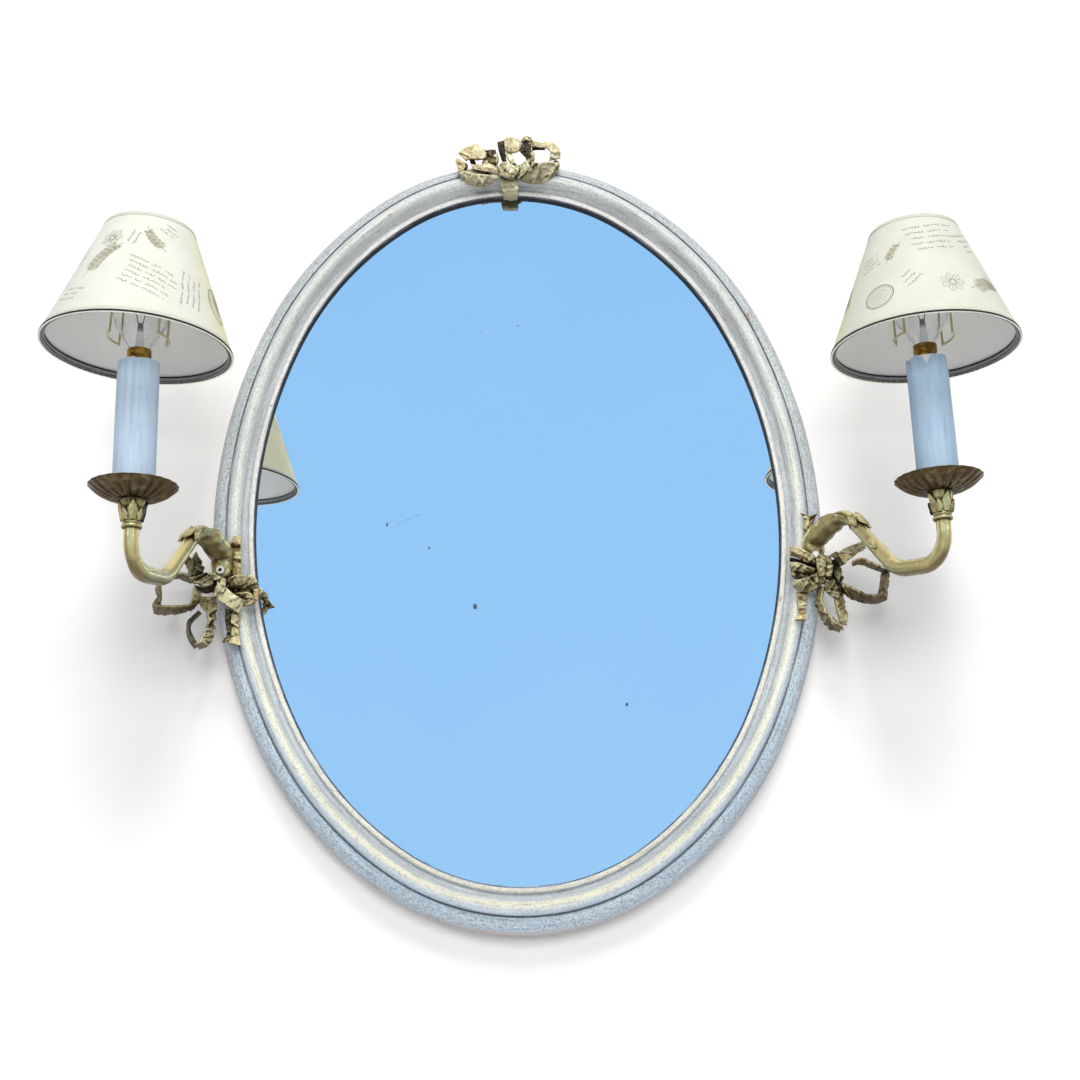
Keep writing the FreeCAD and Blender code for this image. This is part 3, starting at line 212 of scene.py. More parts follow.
# ------------------------------------------------------------------ materials
def mat_frame_paint():
    """Distressed paint: a bead, a cove, a torus and a flat outer band run along the oval."""
    M = Mat("frame_paint")
    d, s = M.attr("band"), M.attr("along")
    x, y, z = M.xyz(M.pos())
    band = M.op("DIVIDE", d, 32.0)
    # brushed streaks that follow the oval
    v1 = M.vec(M.op("MULTIPLY", s, 0.022), M.op("MULTIPLY", d, 0.75), M.op("MULTIPLY", y, 300.0))
    v2 = M.vec(M.op("MULTIPLY", s, 0.06), M.op("MULTIPLY", d, 2.3), 3.7)
    st1 = M.noise(v1, 1.0, 5.0, 0.6, 0.4)
    st2 = M.noise(v2, 1.0, 3.0, 0.6)
    fine = M.noise(M.pos(), 620.0, 3.0, 0.7)
    blot = M.noise(M.pos(), 26.0, 4.0, 0.6)
    # colours across the profile; the near-black stops at the sight edge (up to 0.02) and the dark stops in the sunk
    # line (0.592 to 0.615) are painted shade
    base = M.ramp(band, [
        (0.0, lin(40, 42, 46)), (0.020, lin(60, 62, 66)), (0.032, lin(216, 216, 220)), (0.10, lin(214, 208, 204)), (0.145, lin(184, 186, 190)),
        (0.165, lin(166, 170, 172)), (0.21, lin(186, 191, 192)), (0.262, lin(198, 202, 203)), (0.33, lin(210, 214, 213)), (0.42, lin(214, 218, 216)),
        (0.50, lin(204, 209, 210)), (0.565, lin(190, 197, 201)), (0.592, lin(128, 131, 133)), (0.615, lin(122, 125, 128)),
        (0.645, lin(184, 191, 194)), (0.74, lin(190, 197, 200)), (0.86, lin(184, 191, 195)), (0.94, lin(178, 182, 184)),
        (0.985, lin(172, 166, 160))])
    # the painted shade in the sunk line thins out and breaks up, above all on the upper left
    gap = M.noise(M.vec(M.op("MULTIPLY", s, 0.05), 0.0, 2.2), 1.0, 4.0, 0.7)
    weak = M.op("MULTIPLY", M.step(gap, 0.46, 0.60), M.fmix(M.step(z, -0.12, 0.06), 0.35, 0.9))
    near = M.op("MULTIPLY", M.step(d, 18.3, 18.9), M.step(d, 20.6, 19.9))
    base = M.cmix(M.op("MULTIPLY", near, weak), base, lin(168, 174, 177))
    # painted blue light: the paint is bluer towards the bottom of the oval, most on the outer slope and band
    painted_blue_light = M.op("MULTIPLY", M.step(z, 0.05, -0.20), M.fmix(M.step(d, 14.0, 18.5), 0.25, 1.0))
    base = M.cmix(painted_blue_light, base, M.cmix(1.0, base, (0.85, 0.98, 1.12, 1.0), "MULTIPLY"))
    # painted highlight in cream on the bead and the torus over the lower half, where they face up to the light, with
    # patches of rubbed cream paint all round
    low = M.step(z, 0.13, -0.19)
    torus = M.op("MULTIPLY", M.step(d, 8.2, 11.6), M.step(d, 15.4, 12.2))
    bead = M.op("MULTIPLY", M.step(d, 1.1, 2.0), M.step(d, 4.3, 3.2))
    patch = M.step(M.noise(M.vec(M.op("MULTIPLY", s, 0.013), M.op("MULTIPLY", d, 0.22), 9.1), 1.0, 4.0, 0.6), 0.36, 0.62)
    highlight_and_rub_amount = M.op("MULTIPLY", M.op("MAXIMUM", torus, M.op("MULTIPLY", bead, 0.85)),
                   M.op("ADD", M.op("MULTIPLY", low, 0.75), M.op("MULTIPLY", patch, 0.30)), clamp=True)
    highlight_and_rub_cream = M.cmix(st1, lin(238, 235, 202), lin(224, 219, 192))
    col = M.cmix(M.op("MULTIPLY", highlight_and_rub_amount, 0.85), base, highlight_and_rub_cream)
    # darker, wood-coloured rubbing in thin streaks
    rub = M.step(st2, 0.56, 0.72)
    col = M.cmix(M.op("MULTIPLY", rub, 0.68), col, lin(130, 130, 124))
    st3 = M.noise(M.vec(M.op("MULTIPLY", s, 0.035), M.op("MULTIPLY", d, 4.6), 8.1), 1.0, 3.0, 0.7)
    col = M.cmix(M.op("MULTIPLY", M.step(st3, 0.57, 0.66), 0.42), col, lin(112, 114, 120))
    lite = M.step(st1, 0.52, 0.72)
    col = M.cmix(M.op("MULTIPLY", lite, 0.5), col, lin(232, 236, 238))
    dark = M.step(st1, 0.46, 0.30)
    col = M.cmix(M.op("MULTIPLY", dark, 0.60), col, lin(134, 141, 147))
    # speckle, strongest on the outer band
    outer = M.step(d, 18.5, 21.0)
    tiny = M.noise(M.vec(M.op("MULTIPLY", s, 0.55), M.op("MULTIPLY", d, 0.95), M.op("MULTIPLY", y, 900.0)), 1.0, 3.0, 0.7)
    speck = M.op("MULTIPLY", M.step(fine, 0.54, 0.64), M.fmix(outer, 0.30, 0.62))
    col = M.cmix(speck, col, lin(90, 94, 100))
    col = M.cmix(M.op("MULTIPLY", M.step(tiny, 0.55, 0.68), M.fmix(outer, 0.40, 0.75)), col, lin(96, 99, 102))
    lspeck = M.op("MULTIPLY", M.step(fine, 0.43, 0.34), M.fmix(outer, 0.2, 0.50))
    col = M.cmix(lspeck, col, lin(227, 233, 239))
    col = M.cmix(M.op("MULTIPLY", M.step(tiny, 0.42, 0.32), 0.45), col, lin(224, 229, 231))
    # warm wood at the outer edge and in old chips
    edge = M.op("MULTIPLY", M.step(d, 28.8, 31.0), M.step(blot, 0.40, 0.62))
    col = M.cmix(M.op("MULTIPLY", edge, 0.6), col, lin(186, 160, 142))
    chip = M.op("MULTIPLY", M.step(M.noise(M.pos(), 95.0, 3.0, 0.5), 0.705, 0.73), M.step(blot, 0.45, 0.6))
    col = M.cmix(M.op("MULTIPLY", chip, 0.75), col, lin(150, 118, 92))
    # painted light: the paint is made lighter along the sides of the oval, between about z -0.14 and 0.02
    col = M.cmix(M.op("MULTIPLY", M.step(z, 0.16, 0.02), M.step(z, -0.25, -0.14)), col, M.cmix(1.0, col, (1.13, 1.13, 1.13, 1.0), "MULTIPLY"))
    h = M.op("ADD", M.op("MULTIPLY", st2, 0.6), M.op("MULTIPLY", fine, 0.4))
    return M.set(color=col, rough=M.fmix(fine, 0.45, 0.70), normal=M.bump(h, 0.5, 0.0007), spec=0.35)


def mat_lip():
    M = Mat("lip_shadow_paint")
    n = M.noise(M.pos(), 240.0, 3.0)
    return M.set(color=M.ramp(n, [(0.3, lin(16, 18, 22)), (0.75, lin(44, 46, 52))]), rough=M.fmix(n, 0.6, 0.85))


def mat_raw_wood():
    M = Mat("frame_back_wood")
    s, d = M.attr("along"), M.attr("band")
    g = M.noise(M.vec(M.op("MULTIPLY", s, 0.02), M.op("MULTIPLY", d, 0.9), 0.0), 1.0, 5.0, 0.6, 0.8)
    f = M.noise(M.pos(), 500.0, 3.0)
    col = M.ramp(g, [(0.25, lin(126, 96, 66)), (0.5, lin(160, 127, 90)), (0.75, lin(184, 152, 112))])
    col = M.cmix(M.op("MULTIPLY", f, 0.3), col, lin(104, 78, 54))
    return M.set(color=col, rough=M.fmix(g, 0.7, 0.85), normal=M.bump(g, 0.4, 0.0006))


def mat_mirror():
    M = Mat("silvered_glass")
    p = M.pos()
    # foxing: a few pinpoints, seven larger spots and hair scratches
    v = M.voronoi(M.scaled(p, (1, 0, 1)), 34.0)
    pick = M.noise(M.scaled(p, (1, 0, 1)), 34.0, 1.0)
    dots = M.op("MULTIPLY", M.step(v, 0.030, 0.018), M.step(pick, 0.62, 0.66))
    x, y, z = M.xyz(p)
    spots = None
    for sx, sz, r, ax in ((-0.0317, -0.0615, 0.0017, 1.0), (-0.0935, 0.0, 0.0011, 1.0), (0.1095, 0.2215, 0.0010, 1.0),
                          (0.1445, 0.182, 0.0012, 1.0), (0.072, -0.1335, 0.0011, 1.0), (0.004, 0.151, 0.0008, 1.0),
                          (-0.0635, -0.018, 0.0008, 1.0)):
        dx = M.op("SUBTRACT", x, sx)
        dz = M.op("MULTIPLY", M.op("SUBTRACT", z, sz), 0.7)
        dd = M.op("SQRT", M.op("ADD", M.op("MULTIPLY", dx, dx), M.op("MULTIPLY", dz, dz)))
        wob = M.op("MULTIPLY", M.op("SUBTRACT", M.noise(p, 900.0, 2.0), 0.5), 0.0022)
        dot = M.step(M.op("ADD", dd, wob), r, r * 0.55)
        spots = dot if spots is None else M.op("MAXIMUM", spots, dot)
    # two hair scratches that run up and to the right
    for sx, sz, ln, ang, w in ((-0.020, 0.146, 0.013, 48.0, 0.00035), (-0.078, 0.004, 0.020, 22.0, 0.00030)):
        c, s_ = math.cos(math.radians(ang)), math.sin(math.radians(ang))
        dx, dz = M.op("SUBTRACT", x, sx), M.op("SUBTRACT", z, sz)
        u_ = M.op("ADD", M.op("MULTIPLY", dx, c), M.op("MULTIPLY", dz, s_))
        w_ = M.op("ABSOLUTE", M.op("SUBTRACT", M.op("MULTIPLY", dz, c), M.op("MULTIPLY", dx, s_)))
        line = M.op("MULTIPLY", M.step(w_, w, w * 0.4), M.step(M.op("ABSOLUTE", u_), ln * 0.5, ln * 0.4))
        line = M.op("MULTIPLY", line, M.step(M.noise(p, 260.0, 2.0), 0.35, 0.55))
        spots = M.op("MAXIMUM", spots, M.op("MULTIPLY", line, 0.6))
    # desilvered edge
    ex, ez = M.op("DIVIDE", x, 0.1868), M.op("DIVIDE", z, 0.2545)
    er = M.op("SQRT", M.op("ADD", M.op("MULTIPLY", ex, ex), M.op("MULTIPLY", ez, ez)))
    en = M.noise(p, 70.0, 4.0, 0.7)
    rim = M.step(M.op("ADD", er, M.op("MULTIPLY", en, 0.030)), 1.012, 1.024)
    bad = M.op("MAXIMUM", M.op("MAXIMUM", M.op("MULTIPLY", dots, 0.75), M.op("MULTIPLY", spots, 0.9)), M.op("MULTIPLY", rim, 0.6))
    haze = M.noise(M.scaled(p, (1, 0, 1)), 7.0, 3.0)
    tint = M.cmix(haze, lin(250, 252, 255), lin(243, 248, 254))
    col = M.cmix(bad, tint, lin(36, 50, 66))
    return M.set(color=col, metal=1.0, rough=M.fmix(bad, 0.012, 0.5))


def brass(name, light, mid, deep, metal=0.8, rough=(0.32, 0.6), cavity=1.0, grain=0.5, warm=None, under=0.85, lo=0.30, scales=False):
    """Cast brass: lighter on open high parts and darker in its hollows, from 'ao', as patina and painted shade. 'tone'
    darkens single bands with painted shade, 'warmth' reddens single bands, and faces that point downwards get painted
    shade."""
    M = Mat(name)
    p = M.pos()
    ao = M.attr("ao")
    big = M.noise(p, 110.0, 4.0, 0.6)
    fine = M.noise(p, 620.0, 4.0, 0.65)
    a = M.op("ADD", M.op("MULTIPLY", ao, cavity), M.op("MULTIPLY", M.op("SUBTRACT", big, 0.5), 0.55))
    a = M.op("ADD", a, M.op("MULTIPLY", M.op("SUBTRACT", fine, 0.5), 0.30))
    # painted shade: single bands are darkened by their per-band value
    a = M.op("SUBTRACT", a, M.op("MULTIPLY", M.attr("tone"), 0.62), clamp=True)
    col = M.ramp(a, [(lo, deep), (lo + 0.26, mid), (lo + 0.54, light)])
    grey = M.step(M.noise(p, 150.0, 3.0), 0.52, 0.66)
    col = M.cmix(M.op("MULTIPLY", grey, 0.28), col, lin(142, 136, 104))
    w = M.op("MULTIPLY", M.attr("warmth"), M.step(M.noise(p, 75.0, 3.0), 0.34, 0.60))
    col = M.cmix(M.op("MULTIPLY", w, 0.75), col, warm or lin(205, 166, 104))
    geo = M.node("ShaderNodeNewGeometry")
    nx, ny, nz = M.xyz(geo.outputs["Normal"])
    if scales:
        # painted shade between the fish scales on the low, downward-facing part of the arm
        cell = M.step(M.voronoi(p, 480.0), 0.34, 0.60)
        px, py, pz = M.xyz(p)
        underside_scale_shade = M.op("MULTIPLY", M.step(nz, 0.20, -0.40), M.step(pz, -0.072, -0.092))
        col = M.cmix(M.op("MULTIPLY", M.op("MULTIPLY", cell, underside_scale_shade), 0.62), col, deep)
    # painted shade: faces that point downwards are darkened towards the deep colour, by the 'under' amount
    underside_shade = M.op("MULTIPLY", M.step(nz, -0.16, -0.72), under)
    col = M.cmix(underside_shade, col, M.cmix(0.45, deep, lin(74, 48, 20)))
    r = M.fmix(a, rough[1], rough[0])
    h = M.op("ADD", M.op("MULTIPLY", big, 0.5), M.op("MULTIPLY", fine, grain))
    return M.set(color=col, metal=metal, rough=r, normal=M.bump(h, 0.45, 0.0007), spec=0.35)


def plain(name, c1, c2, scale=180.0, rough=(0.4, 0.6), metal=0.0, bump=0.15, dist=0.0003, stretch=(1, 1, 1), spec=0.5):
    M = Mat(name)
    p = M.scaled(M.pos(), stretch)
    n = M.noise(p, scale, 4.0, 0.6)
    f = M.noise(p, scale * 5.0, 2.0, 0.6)
    col = M.ramp(M.fmix(0.35, n, f), [(0.3, c1), (0.72, c2)])
    return M.set(color=col, rough=M.fmix(n, rough[0], rough[1]), metal=metal, normal=M.bump(f, bump, dist), spec=spec)


def mat_candle():
    """Painted card sleeve: pale, cool, with rubbed vertical streaks and pepper specks."""
    M = Mat("candle_card")
    p = M.pos()
    st = M.noise(M.scaled(p, (260, 260, 26)), 1.0, 4.0, 0.6)
    big = M.noise(M.scaled(p, (60, 60, 12)), 1.0, 3.0)
    sp = M.step(M.noise(p, 900.0, 2.0, 0.6), 0.655, 0.70)
    col = M.ramp(st, [(0.28, lin(160, 182, 202)), (0.5, lin(180, 202, 222)), (0.75, lin(194, 212, 228))])
    col = M.cmix(M.op("MULTIPLY", M.step(big, 0.45, 0.7), 0.4), col, lin(196, 208, 216))
    col = M.cmix(M.op("MULTIPLY", sp, 0.5), col, lin(132, 142, 152))
    x, y, z = M.xyz(p)
    col = M.cmix(M.step(x, 0.0, 0.1), col, M.cmix(1.0, col, (0.80, 0.86, 0.90, 1.0), "MULTIPLY"))
    return M.set(color=col, rough=M.fmix(st, 0.5, 0.7), normal=M.bump(st, 0.08, 0.0003), spec=0.35)


def mat_glass():
    M = Mat("bulb_glass")
    n = M.noise(M.pos(), 60.0, 2.0)
    return M.set(color=M.ramp(n, [(0.3, lin(246, 248, 250)), (0.7, lin(255, 255, 255))]), rough=0.0, trans=1.0, ior=1.45)


def mat_paper():
    """Ivory card with faint pulp clouds and a few fibres, and painted warm light on the side turned to the glass."""
    M = Mat("shade_paper")
    p = M.pos()
    cloud = M.noise(p, 34.0, 4.0, 0.6)
    fine = M.noise(p, 700.0, 3.0, 0.6)
    fib = M.step(M.noise(M.scaled(p, (900, 900, 120)), 1.0, 2.0), 0.62, 0.72)
    col = M.ramp(cloud, [(0.3, lin(212, 213, 201)), (0.5, lin(218, 220, 211)), (0.72, lin(222, 224, 216))])
    # painted warm light on the side turned to the glass
    x, y, z = M.xyz(p)
    inward = M.op("ADD", M.op("MULTIPLY", M.op("SUBTRACT", 0.250, M.op("ABSOLUTE", x)), 0.6), M.op("MULTIPLY", M.op("ADD", y, 0.160), 0.8))
    back = M.step(inward, 0.002, 0.036)
    col = M.cmix(M.op("MULTIPLY", back, 0.9), col, lin(236, 230, 186))
    col = M.cmix(M.step(x, 0.0, 0.1), col, M.cmix(1.0, col, (0.93, 0.93, 0.90, 1.0), "MULTIPLY"))
    col = M.cmix(M.op("MULTIPLY", fine, 0.07), col, lin(218, 215, 192))
    col = M.cmix(M.op("MULTIPLY", fib, 0.10), col, lin(206, 201, 174))
    return M.set(color=col, rough=M.fmix(cloud, 0.68, 0.8), normal=M.bump(fine, 0.12, 0.0002), spec=0.3)


def mat_ink():
    M = Mat("print_ink")
    n = M.noise(M.pos(), 480.0, 4.0, 0.7)
    g = M.noise(M.pos(), 50.0, 2.0)
    col = M.ramp(n, [(0.32, lin(172, 171, 160)), (0.50, lin(138, 137, 128)), (0.72, lin(108, 107, 100))])
    col = M.cmix(M.op("MULTIPLY", g, 0.4), col, lin(178, 172, 150))
    return M.set(color=col, rough=0.75, spec=0.2)


def mat_ink_ochre():
    M = Mat("print_ink_ochre")
    n = M.noise(M.pos(), 480.0, 4.0, 0.7)
    return M.set(color=M.ramp(n, [(0.3, lin(190, 184, 156)), (0.7, lin(156, 149, 120))]), rough=0.75, spec=0.2)


def mat_lining():
    M = Mat("shade_lining")
    c = M.noise(M.pos(), 24.0, 3.0)
    f = M.noise(M.pos(), 600.0, 3.0)
    col = M.ramp(c, [(0.3, lin(247, 246, 241)), (0.7, lin(252, 252, 250))])
    col = M.cmix(M.op("MULTIPLY", f, 0.05), col, lin(210, 210, 206))
    return M.set(color=col, rough=0.6, normal=M.bump(f, 0.1, 0.0002), spec=0.3)


def weave(name, c1, c2, scale=1500.0, rough=0.8):
    M = Mat(name)
    p = M.pos()
    n = M.noise(p, scale, 2.0, 0.6)
    w = M.noise(M.scaled(p, (1, 1, 2.6)), scale * 0.5, 2.0)
    return M.set(color=M.ramp(M.fmix(0.5, n, w), [(0.3, c1), (0.7, c2)]), rough=rough, normal=M.bump(w, 0.4, 0.0002), spec=0.25)


def mat_filament():
    """Glass stem in the lower part, dark wires above it."""
    M = Mat("filament_metal")
    x, y, z = M.xyz(M.pos())
    lift = M.fmix(M.step(x, -0.01, 0.01), 0.0, 0.005)
    up = M.step(M.op("ADD", z, lift), 0.0905, 0.0925)
    n = M.noise(M.pos(), 600.0, 3.0)
    col = M.cmix(up, M.ramp(n, [(0.3, lin(226, 232, 238)), (0.7, lin(244, 247, 250))]), lin(70, 68, 66))
    return M.set(color=col, rough=M.fmix(up, 0.06, 0.4), trans=M.fmix(up, 0.85, 0.0), metal=M.fmix(up, 0.0, 0.8))


def mat_board():
    M = Mat("backboard_fibre")
    p = M.pos()
    n = M.noise(p, 300.0, 4.0, 0.7)
    c = M.noise(p, 9.0, 3.0)
    col = M.ramp(n, [(0.3, lin(112, 82, 56)), (0.55, lin(140, 106, 74)), (0.8, lin(164, 130, 94))])
    col = M.cmix(M.op("MULTIPLY", M.step(c, 0.5, 0.7), 0.35), col, lin(92, 66, 46))
    return M.set(color=col, rough=M.fmix(n, 0.72, 0.9), normal=M.bump(n, 0.3, 0.0004))


MATS = {
    "paint": mat_frame_paint(),
    "lip": mat_lip(),
    "raw": mat_raw_wood(),
    "mirror": mat_mirror(),
    "brass": brass("aged_brass", lin(224, 216, 172), lin(144, 133, 92), lin(22, 17, 9), 0.35, (0.34, 0.58), lo=0.34),
    "crest": brass("aged_brass_pale", lin(224, 218, 182), lin(160, 152, 116), lin(24, 18, 10), 0.25, (0.40, 0.62), under=0.5, lo=0.35),
    "arm": brass("rubbed_brass", lin(218, 203, 144), lin(136, 118, 68), lin(34, 25, 11), 0.6, (0.24, 0.42), under=0.80, lo=0.35, scales=True),
    "bronze": brass("dark_bronze", lin(74, 55, 24), lin(22, 15, 6), lin(5, 3, 2), 0.5, (0.30, 0.55), under=0.0, lo=0.36),
    "bright": brass("bright_brass", lin(226, 188, 96), lin(190, 146, 62), lin(110, 78, 30), 0.9, (0.18, 0.36), cavity=0.0, under=0.3, lo=-0.2),
    "candle": mat_candle(),
    "glass": mat_glass(),
    "paper": mat_paper(),
    "ink": mat_ink(),
    "ochre": mat_ink_ochre(),
    "lining": mat_lining(),
    "tape": weave("edge_tape_ivory", lin(196, 194, 180), lin(216, 215, 204)),
    "tape_dark": weave("edge_tape_dark", lin(128, 131, 133), lin(174, 176, 176)),
    "rim": weave("rim_cord_dark", lin(24, 24, 26), lin(52, 50, 48)),
    "board": mat_board(),
    "steel": plain("zinc_steel", lin(150, 153, 158), lin(196, 198, 202), 240.0, (0.28, 0.5), 1.0),
    "wire": plain("clip_wire_brassed", lin(170, 158, 118), lin(210, 200, 160), 300.0, (0.22, 0.4), 0.75),
    "felt": plain("grey_felt", lin(92, 92, 90), lin(132, 132, 128), 900.0, (0.9, 1.0), 0.0, 0.5, 0.0006, spec=0.1),
    "blackp": plain("black_plastic", lin(24, 24, 26), lin(40, 40, 42), 500.0, (0.4, 0.55)),
    "whitep": plain("white_plastic", lin(224, 224, 220), lin(242, 242, 238), 300.0, (0.3, 0.42), 0.0, 0.05),
    "pvc": plain("pvc_sheath", lin(206, 206, 200), lin(226, 226, 220), 260.0, (0.4, 0.5)),
    "slotdark": plain("slot_painted_shade", lin(12, 12, 12), lin(30, 30, 30), 400.0, (0.6, 0.8)),
    "tungsten": mat_filament(),
    "tape_line": weave("edge_line_grey", lin(140, 140, 132), lin(176, 175, 165)),
    "pin": plain("dull_brass_pin", lin(96, 88, 62), lin(136, 126, 92), 300.0, (0.4, 0.55), 0.4),
    "wire_grey": plain("ring_wire_grey", lin(74, 74, 72), lin(112, 111, 106), 300.0, (0.35, 0.5), 0.3),
}


# ------------------------------------------------------------------ mesh helpers
def make_object(name, verts, faces, mats, face_mat=None, smooth=True, attrs=None, outward=True):
    me = bpy.data.meshes.new(name)
    v = np.asarray(verts, float) * MM
    me.from_pydata(v.tolist(), [], [list(map(int, f)) for f in faces])
    for key in mats:
        me.materials.append(MATS[key])
    if face_mat is not None:
        me.polygons.foreach_set("material_index", np.asarray(face_mat, np.int32))
    me.polygons.foreach_set("use_smooth", [smooth] * len(me.polygons))
    for k, val in (attrs or {}).items():
        a = me.attributes.new(k, "FLOAT", "POINT")
        a.data.foreach_set("value", np.asarray(val, np.float32))
    me.validate()
    if outward:
        bm = bmesh.new()
        bm.from_mesh(me)
        bmesh.ops.recalc_face_normals(bm, faces=bm.faces)
        bm.to_mesh(me)
        bm.free()
    me.update()
    o = bpy.data.objects.new(name, me)
    scene.collection.objects.link(o)
    return o


class Build:
    """Collects parts of one cast piece, then writes them as one mesh."""

    def __init__(self):
        self.v, self.f, self.m = [], [], []
        self.tone, self.warm = [], []

    def add(self, verts, faces, mat=0, tone=0.0, warm=0.0):
        base = len(self.v)
        self.tone.extend([tone] * len(verts) if isinstance(tone, float) else list(tone))
        self.warm.extend([warm] * len(verts))
        self.v.extend([tuple(map(float, p)) for p in verts])
        self.f.extend([tuple(base + int(i) for i in f) for f in faces])
        self.m.extend([mat] * len(faces) if isinstance(mat, int) else list(mat))

    def done(self, name, mats, **kw):
        if max(self.tone) > 0 or max(self.warm) > 0:
            kw.setdefault("attrs", {"tone": self.tone, "warmth": self.warm})
        return make_object(name, self.v, self.f, mats, self.m, **kw)


def catmull(pts, per):
    """Points through every control row, 'per' steps a span."""
    P = np.asarray(pts, float)
    n = len(P)
    ext = np.vstack([2 * P[0] - P[1], P, 2 * P[-1] - P[-2]])
    out = []
    for k in range(n - 1):
        a, b, c, d = ext[k], ext[k + 1], ext[k + 2], ext[k + 3]
        for j in range(per):
            t = j / per
            out.append(0.5 * ((2 * b) + (-a + c) * t + (2 * a - 5 * b + 4 * c - d) * t * t + (-a + 3 * b - 3 * c + d) * t ** 3))
    out.append(P[-1])
    return np.array(out)


def grid_faces(rows, cols, wrap_c=False, wrap_r=False):
    f = []
    for i in range(rows if wrap_r else rows - 1):
        for j in range(cols if wrap_c else cols - 1):
            a, b = i * cols + j, i * cols + (j + 1) % cols
            c, d = ((i + 1) % rows) * cols + (j + 1) % cols, ((i + 1) % rows) * cols + j
            f.append((a, b, c, d))
    return f


def lathe(prof, n, centre, rmod=None, close=True):
    """Closed loop of (r, z) turned round a vertical axis. Returns vertices and faces."""
    k = len(prof)
    V = []
    for i in range(n):
        t = 2 * math.pi * i / n
        for j, (r, z) in enumerate(prof):
            if rmod is not None:
                r, z = rmod(r, z, t, j)
            V.append((centre[0] + r * math.cos(t), centre[1] + r * math.sin(t), centre[2] + z))
    F = []
    for i in range(n):
        for j in range(k if close else k - 1):
            a, b = i * k + j, i * k + (j + 1) % k
            c, d = ((i + 1) % n) * k + (j + 1) % k, ((i + 1) % n) * k + j
            F.append((a, d, c, b))
    return V, F


def smooth_profile(pts, per=5, sharp=()):
    """Catmull-Rom through an open profile, with corners kept at the listed indices."""
    P = [tuple(p) for p in pts]
    cutsat = [0] + [i for i in sharp if 0 < i < len(P) - 1] + [len(P) - 1]
    out = []
    for a, b in zip(cutsat[:-1], cutsat[1:]):
        run = P[a:b + 1]
        q = catmull(run, per) if len(run) > 2 else np.array([run[0], run[1]])
        out.extend([tuple(x) for x in (q[:-1] if b != len(P) - 1 else q)])
    return out


def ribbon(B, ctrl, t=1.7, per=9, bead=0.9, start="flat", end="flat", notch=5.0, wob=0.35, seed=0, mat=0, cols=13):
    """Cast ribbon. A control row is (x, z, y, width, turn): at turn 0 the width runs in depth,
    at 90 it lies flat, facing the room."""
    C = catmull(ctrl, per)
    P = C[:, [0, 2, 1]]                      # x, y, z
    n = len(P)
    T = np.gradient(P, axis=0)
    T /= np.linalg.norm(T, axis=1)[:, None]
    W = []
    for i in range(n):
        nx = np.array([-T[i][2], 0.0, T[i][0]])
        ln = np.linalg.norm(nx)
        nx = nx / ln if ln > 1e-6 else np.array([0, 0, 1.0])
        a = math.radians(C[i][4])
        w = math.cos(a) * np.array([0, -1.0, 0]) + math.sin(a) * nx
        w -= T[i] * np.dot(w, T[i])
        W.append(w / np.linalg.norm(w))
    W = np.array(W)
    H = np.cross(T, W)
    us = np.array([-1, -0.94, -0.84, -0.7, -0.45, -0.2, 0, 0.2, 0.45, 0.7, 0.84, 0.94, 1.0])
    rise = np.array([0.15, 0.85, 1.0, 0.6, 0.42, 0.36, 0.34, 0.36, 0.42, 0.6, 1.0, 0.85, 0.15]) * bead
    under = -np.array([0.15, 0.75, 0.85, 0.7, 0.62, 0.6, 0.6, 0.6, 0.62, 0.7, 0.85, 0.75, 0.15]) * bead
    m = len(us)
    rows = []
    for i in range(n):
        r = i / (n - 1)
        row_t, row_b = [], []
        for j, u in enumerate(us):
            shift = 0.0
            if end == "swallow":
                shift -= notch * (1 - abs(u)) * max(0.0, (r - 0.72) / 0.28)
            elif end == "point":
                shift -= notch * abs(u) * max(0.0, (r - 0.72) / 0.28)
            elif end == "wave":
                shift -= notch * (0.5 + 0.5 * math.sin(u * 4.2 + seed)) * max(0.0, (r - 0.75) / 0.25)
            if start == "swallow":
                shift += notch * (1 - abs(u)) * max(0.0, (0.28 - r) / 0.28)
            hw = C[i][3] / 2
            base = P[i] + T[i] * shift + W[i] * (u * hw)
            q = noise.noise(Vector((base[0] * 0.16 + seed, base[1] * 0.16, base[2] * 0.16)))
            q2 = noise.noise(Vector((base[0] * 0.5, base[1] * 0.5 + seed, base[2] * 0.5)))
            bumpy = wob * (q * 1.3 + q2 * 0.55)
            tt = t * (0.86 + 0.2 * q)
            row_t.append(base + H[i] * (rise[j] * tt * 0.6 + bumpy))
            row_b.append(base + H[i] * (under[j] * tt * 0.6 + bumpy))
        rows.append(row_t + row_b[::-1])
    k = 2 * m
    V = [p for row in rows for p in row]
    F = [(i * k + j, i * k + (j + 1) % k, (i + 1) * k + (j + 1) % k, (i + 1) * k + j) for i in range(n - 1) for j in range(k)]
    for i in (0, n - 1):
        for j in range(m - 1):
            a, b = i * k + j, i * k + j + 1
            c, d = i * k + (k - 2 - j), i * k + (k - 1 - j)
            F.append((a, d, c, b) if i == 0 else (a, b, c, d))
    B.add(V, F, mat)


def blob(B, centre, radii, seed=0, amp=0.12, freq=0.25, n=22, m=14, mat=0, pleat=0, turn=0.0):
    """Lumpy cast knot: an ellipsoid with folds pressed into it."""
    V, F = [], []
    for i in range(m + 1):
        ph = math.pi * i / m - math.pi / 2
        for j in range(n):
            th = 2 * math.pi * j / n
            dx, dz, dy = math.cos(ph) * math.cos(th), math.cos(ph) * math.sin(th), math.sin(ph)
            k = 1 + amp * noise.noise(Vector((dx * 2 + seed, dy * 2, dz * 2)))
            if pleat:
                k += 0.07 * math.cos(pleat * (th - turn)) * math.cos(ph)
            V.append((centre[0] + radii[0] * k * dx, centre[1] + radii[1] * k * dy, centre[2] + radii[2] * k * dz))
    for i in range(m):
        for j in range(n):
            a, b = i * n + j, i * n + (j + 1) % n
            F.append((a, b, b + n, a + n))
    B.add(V, F, mat)


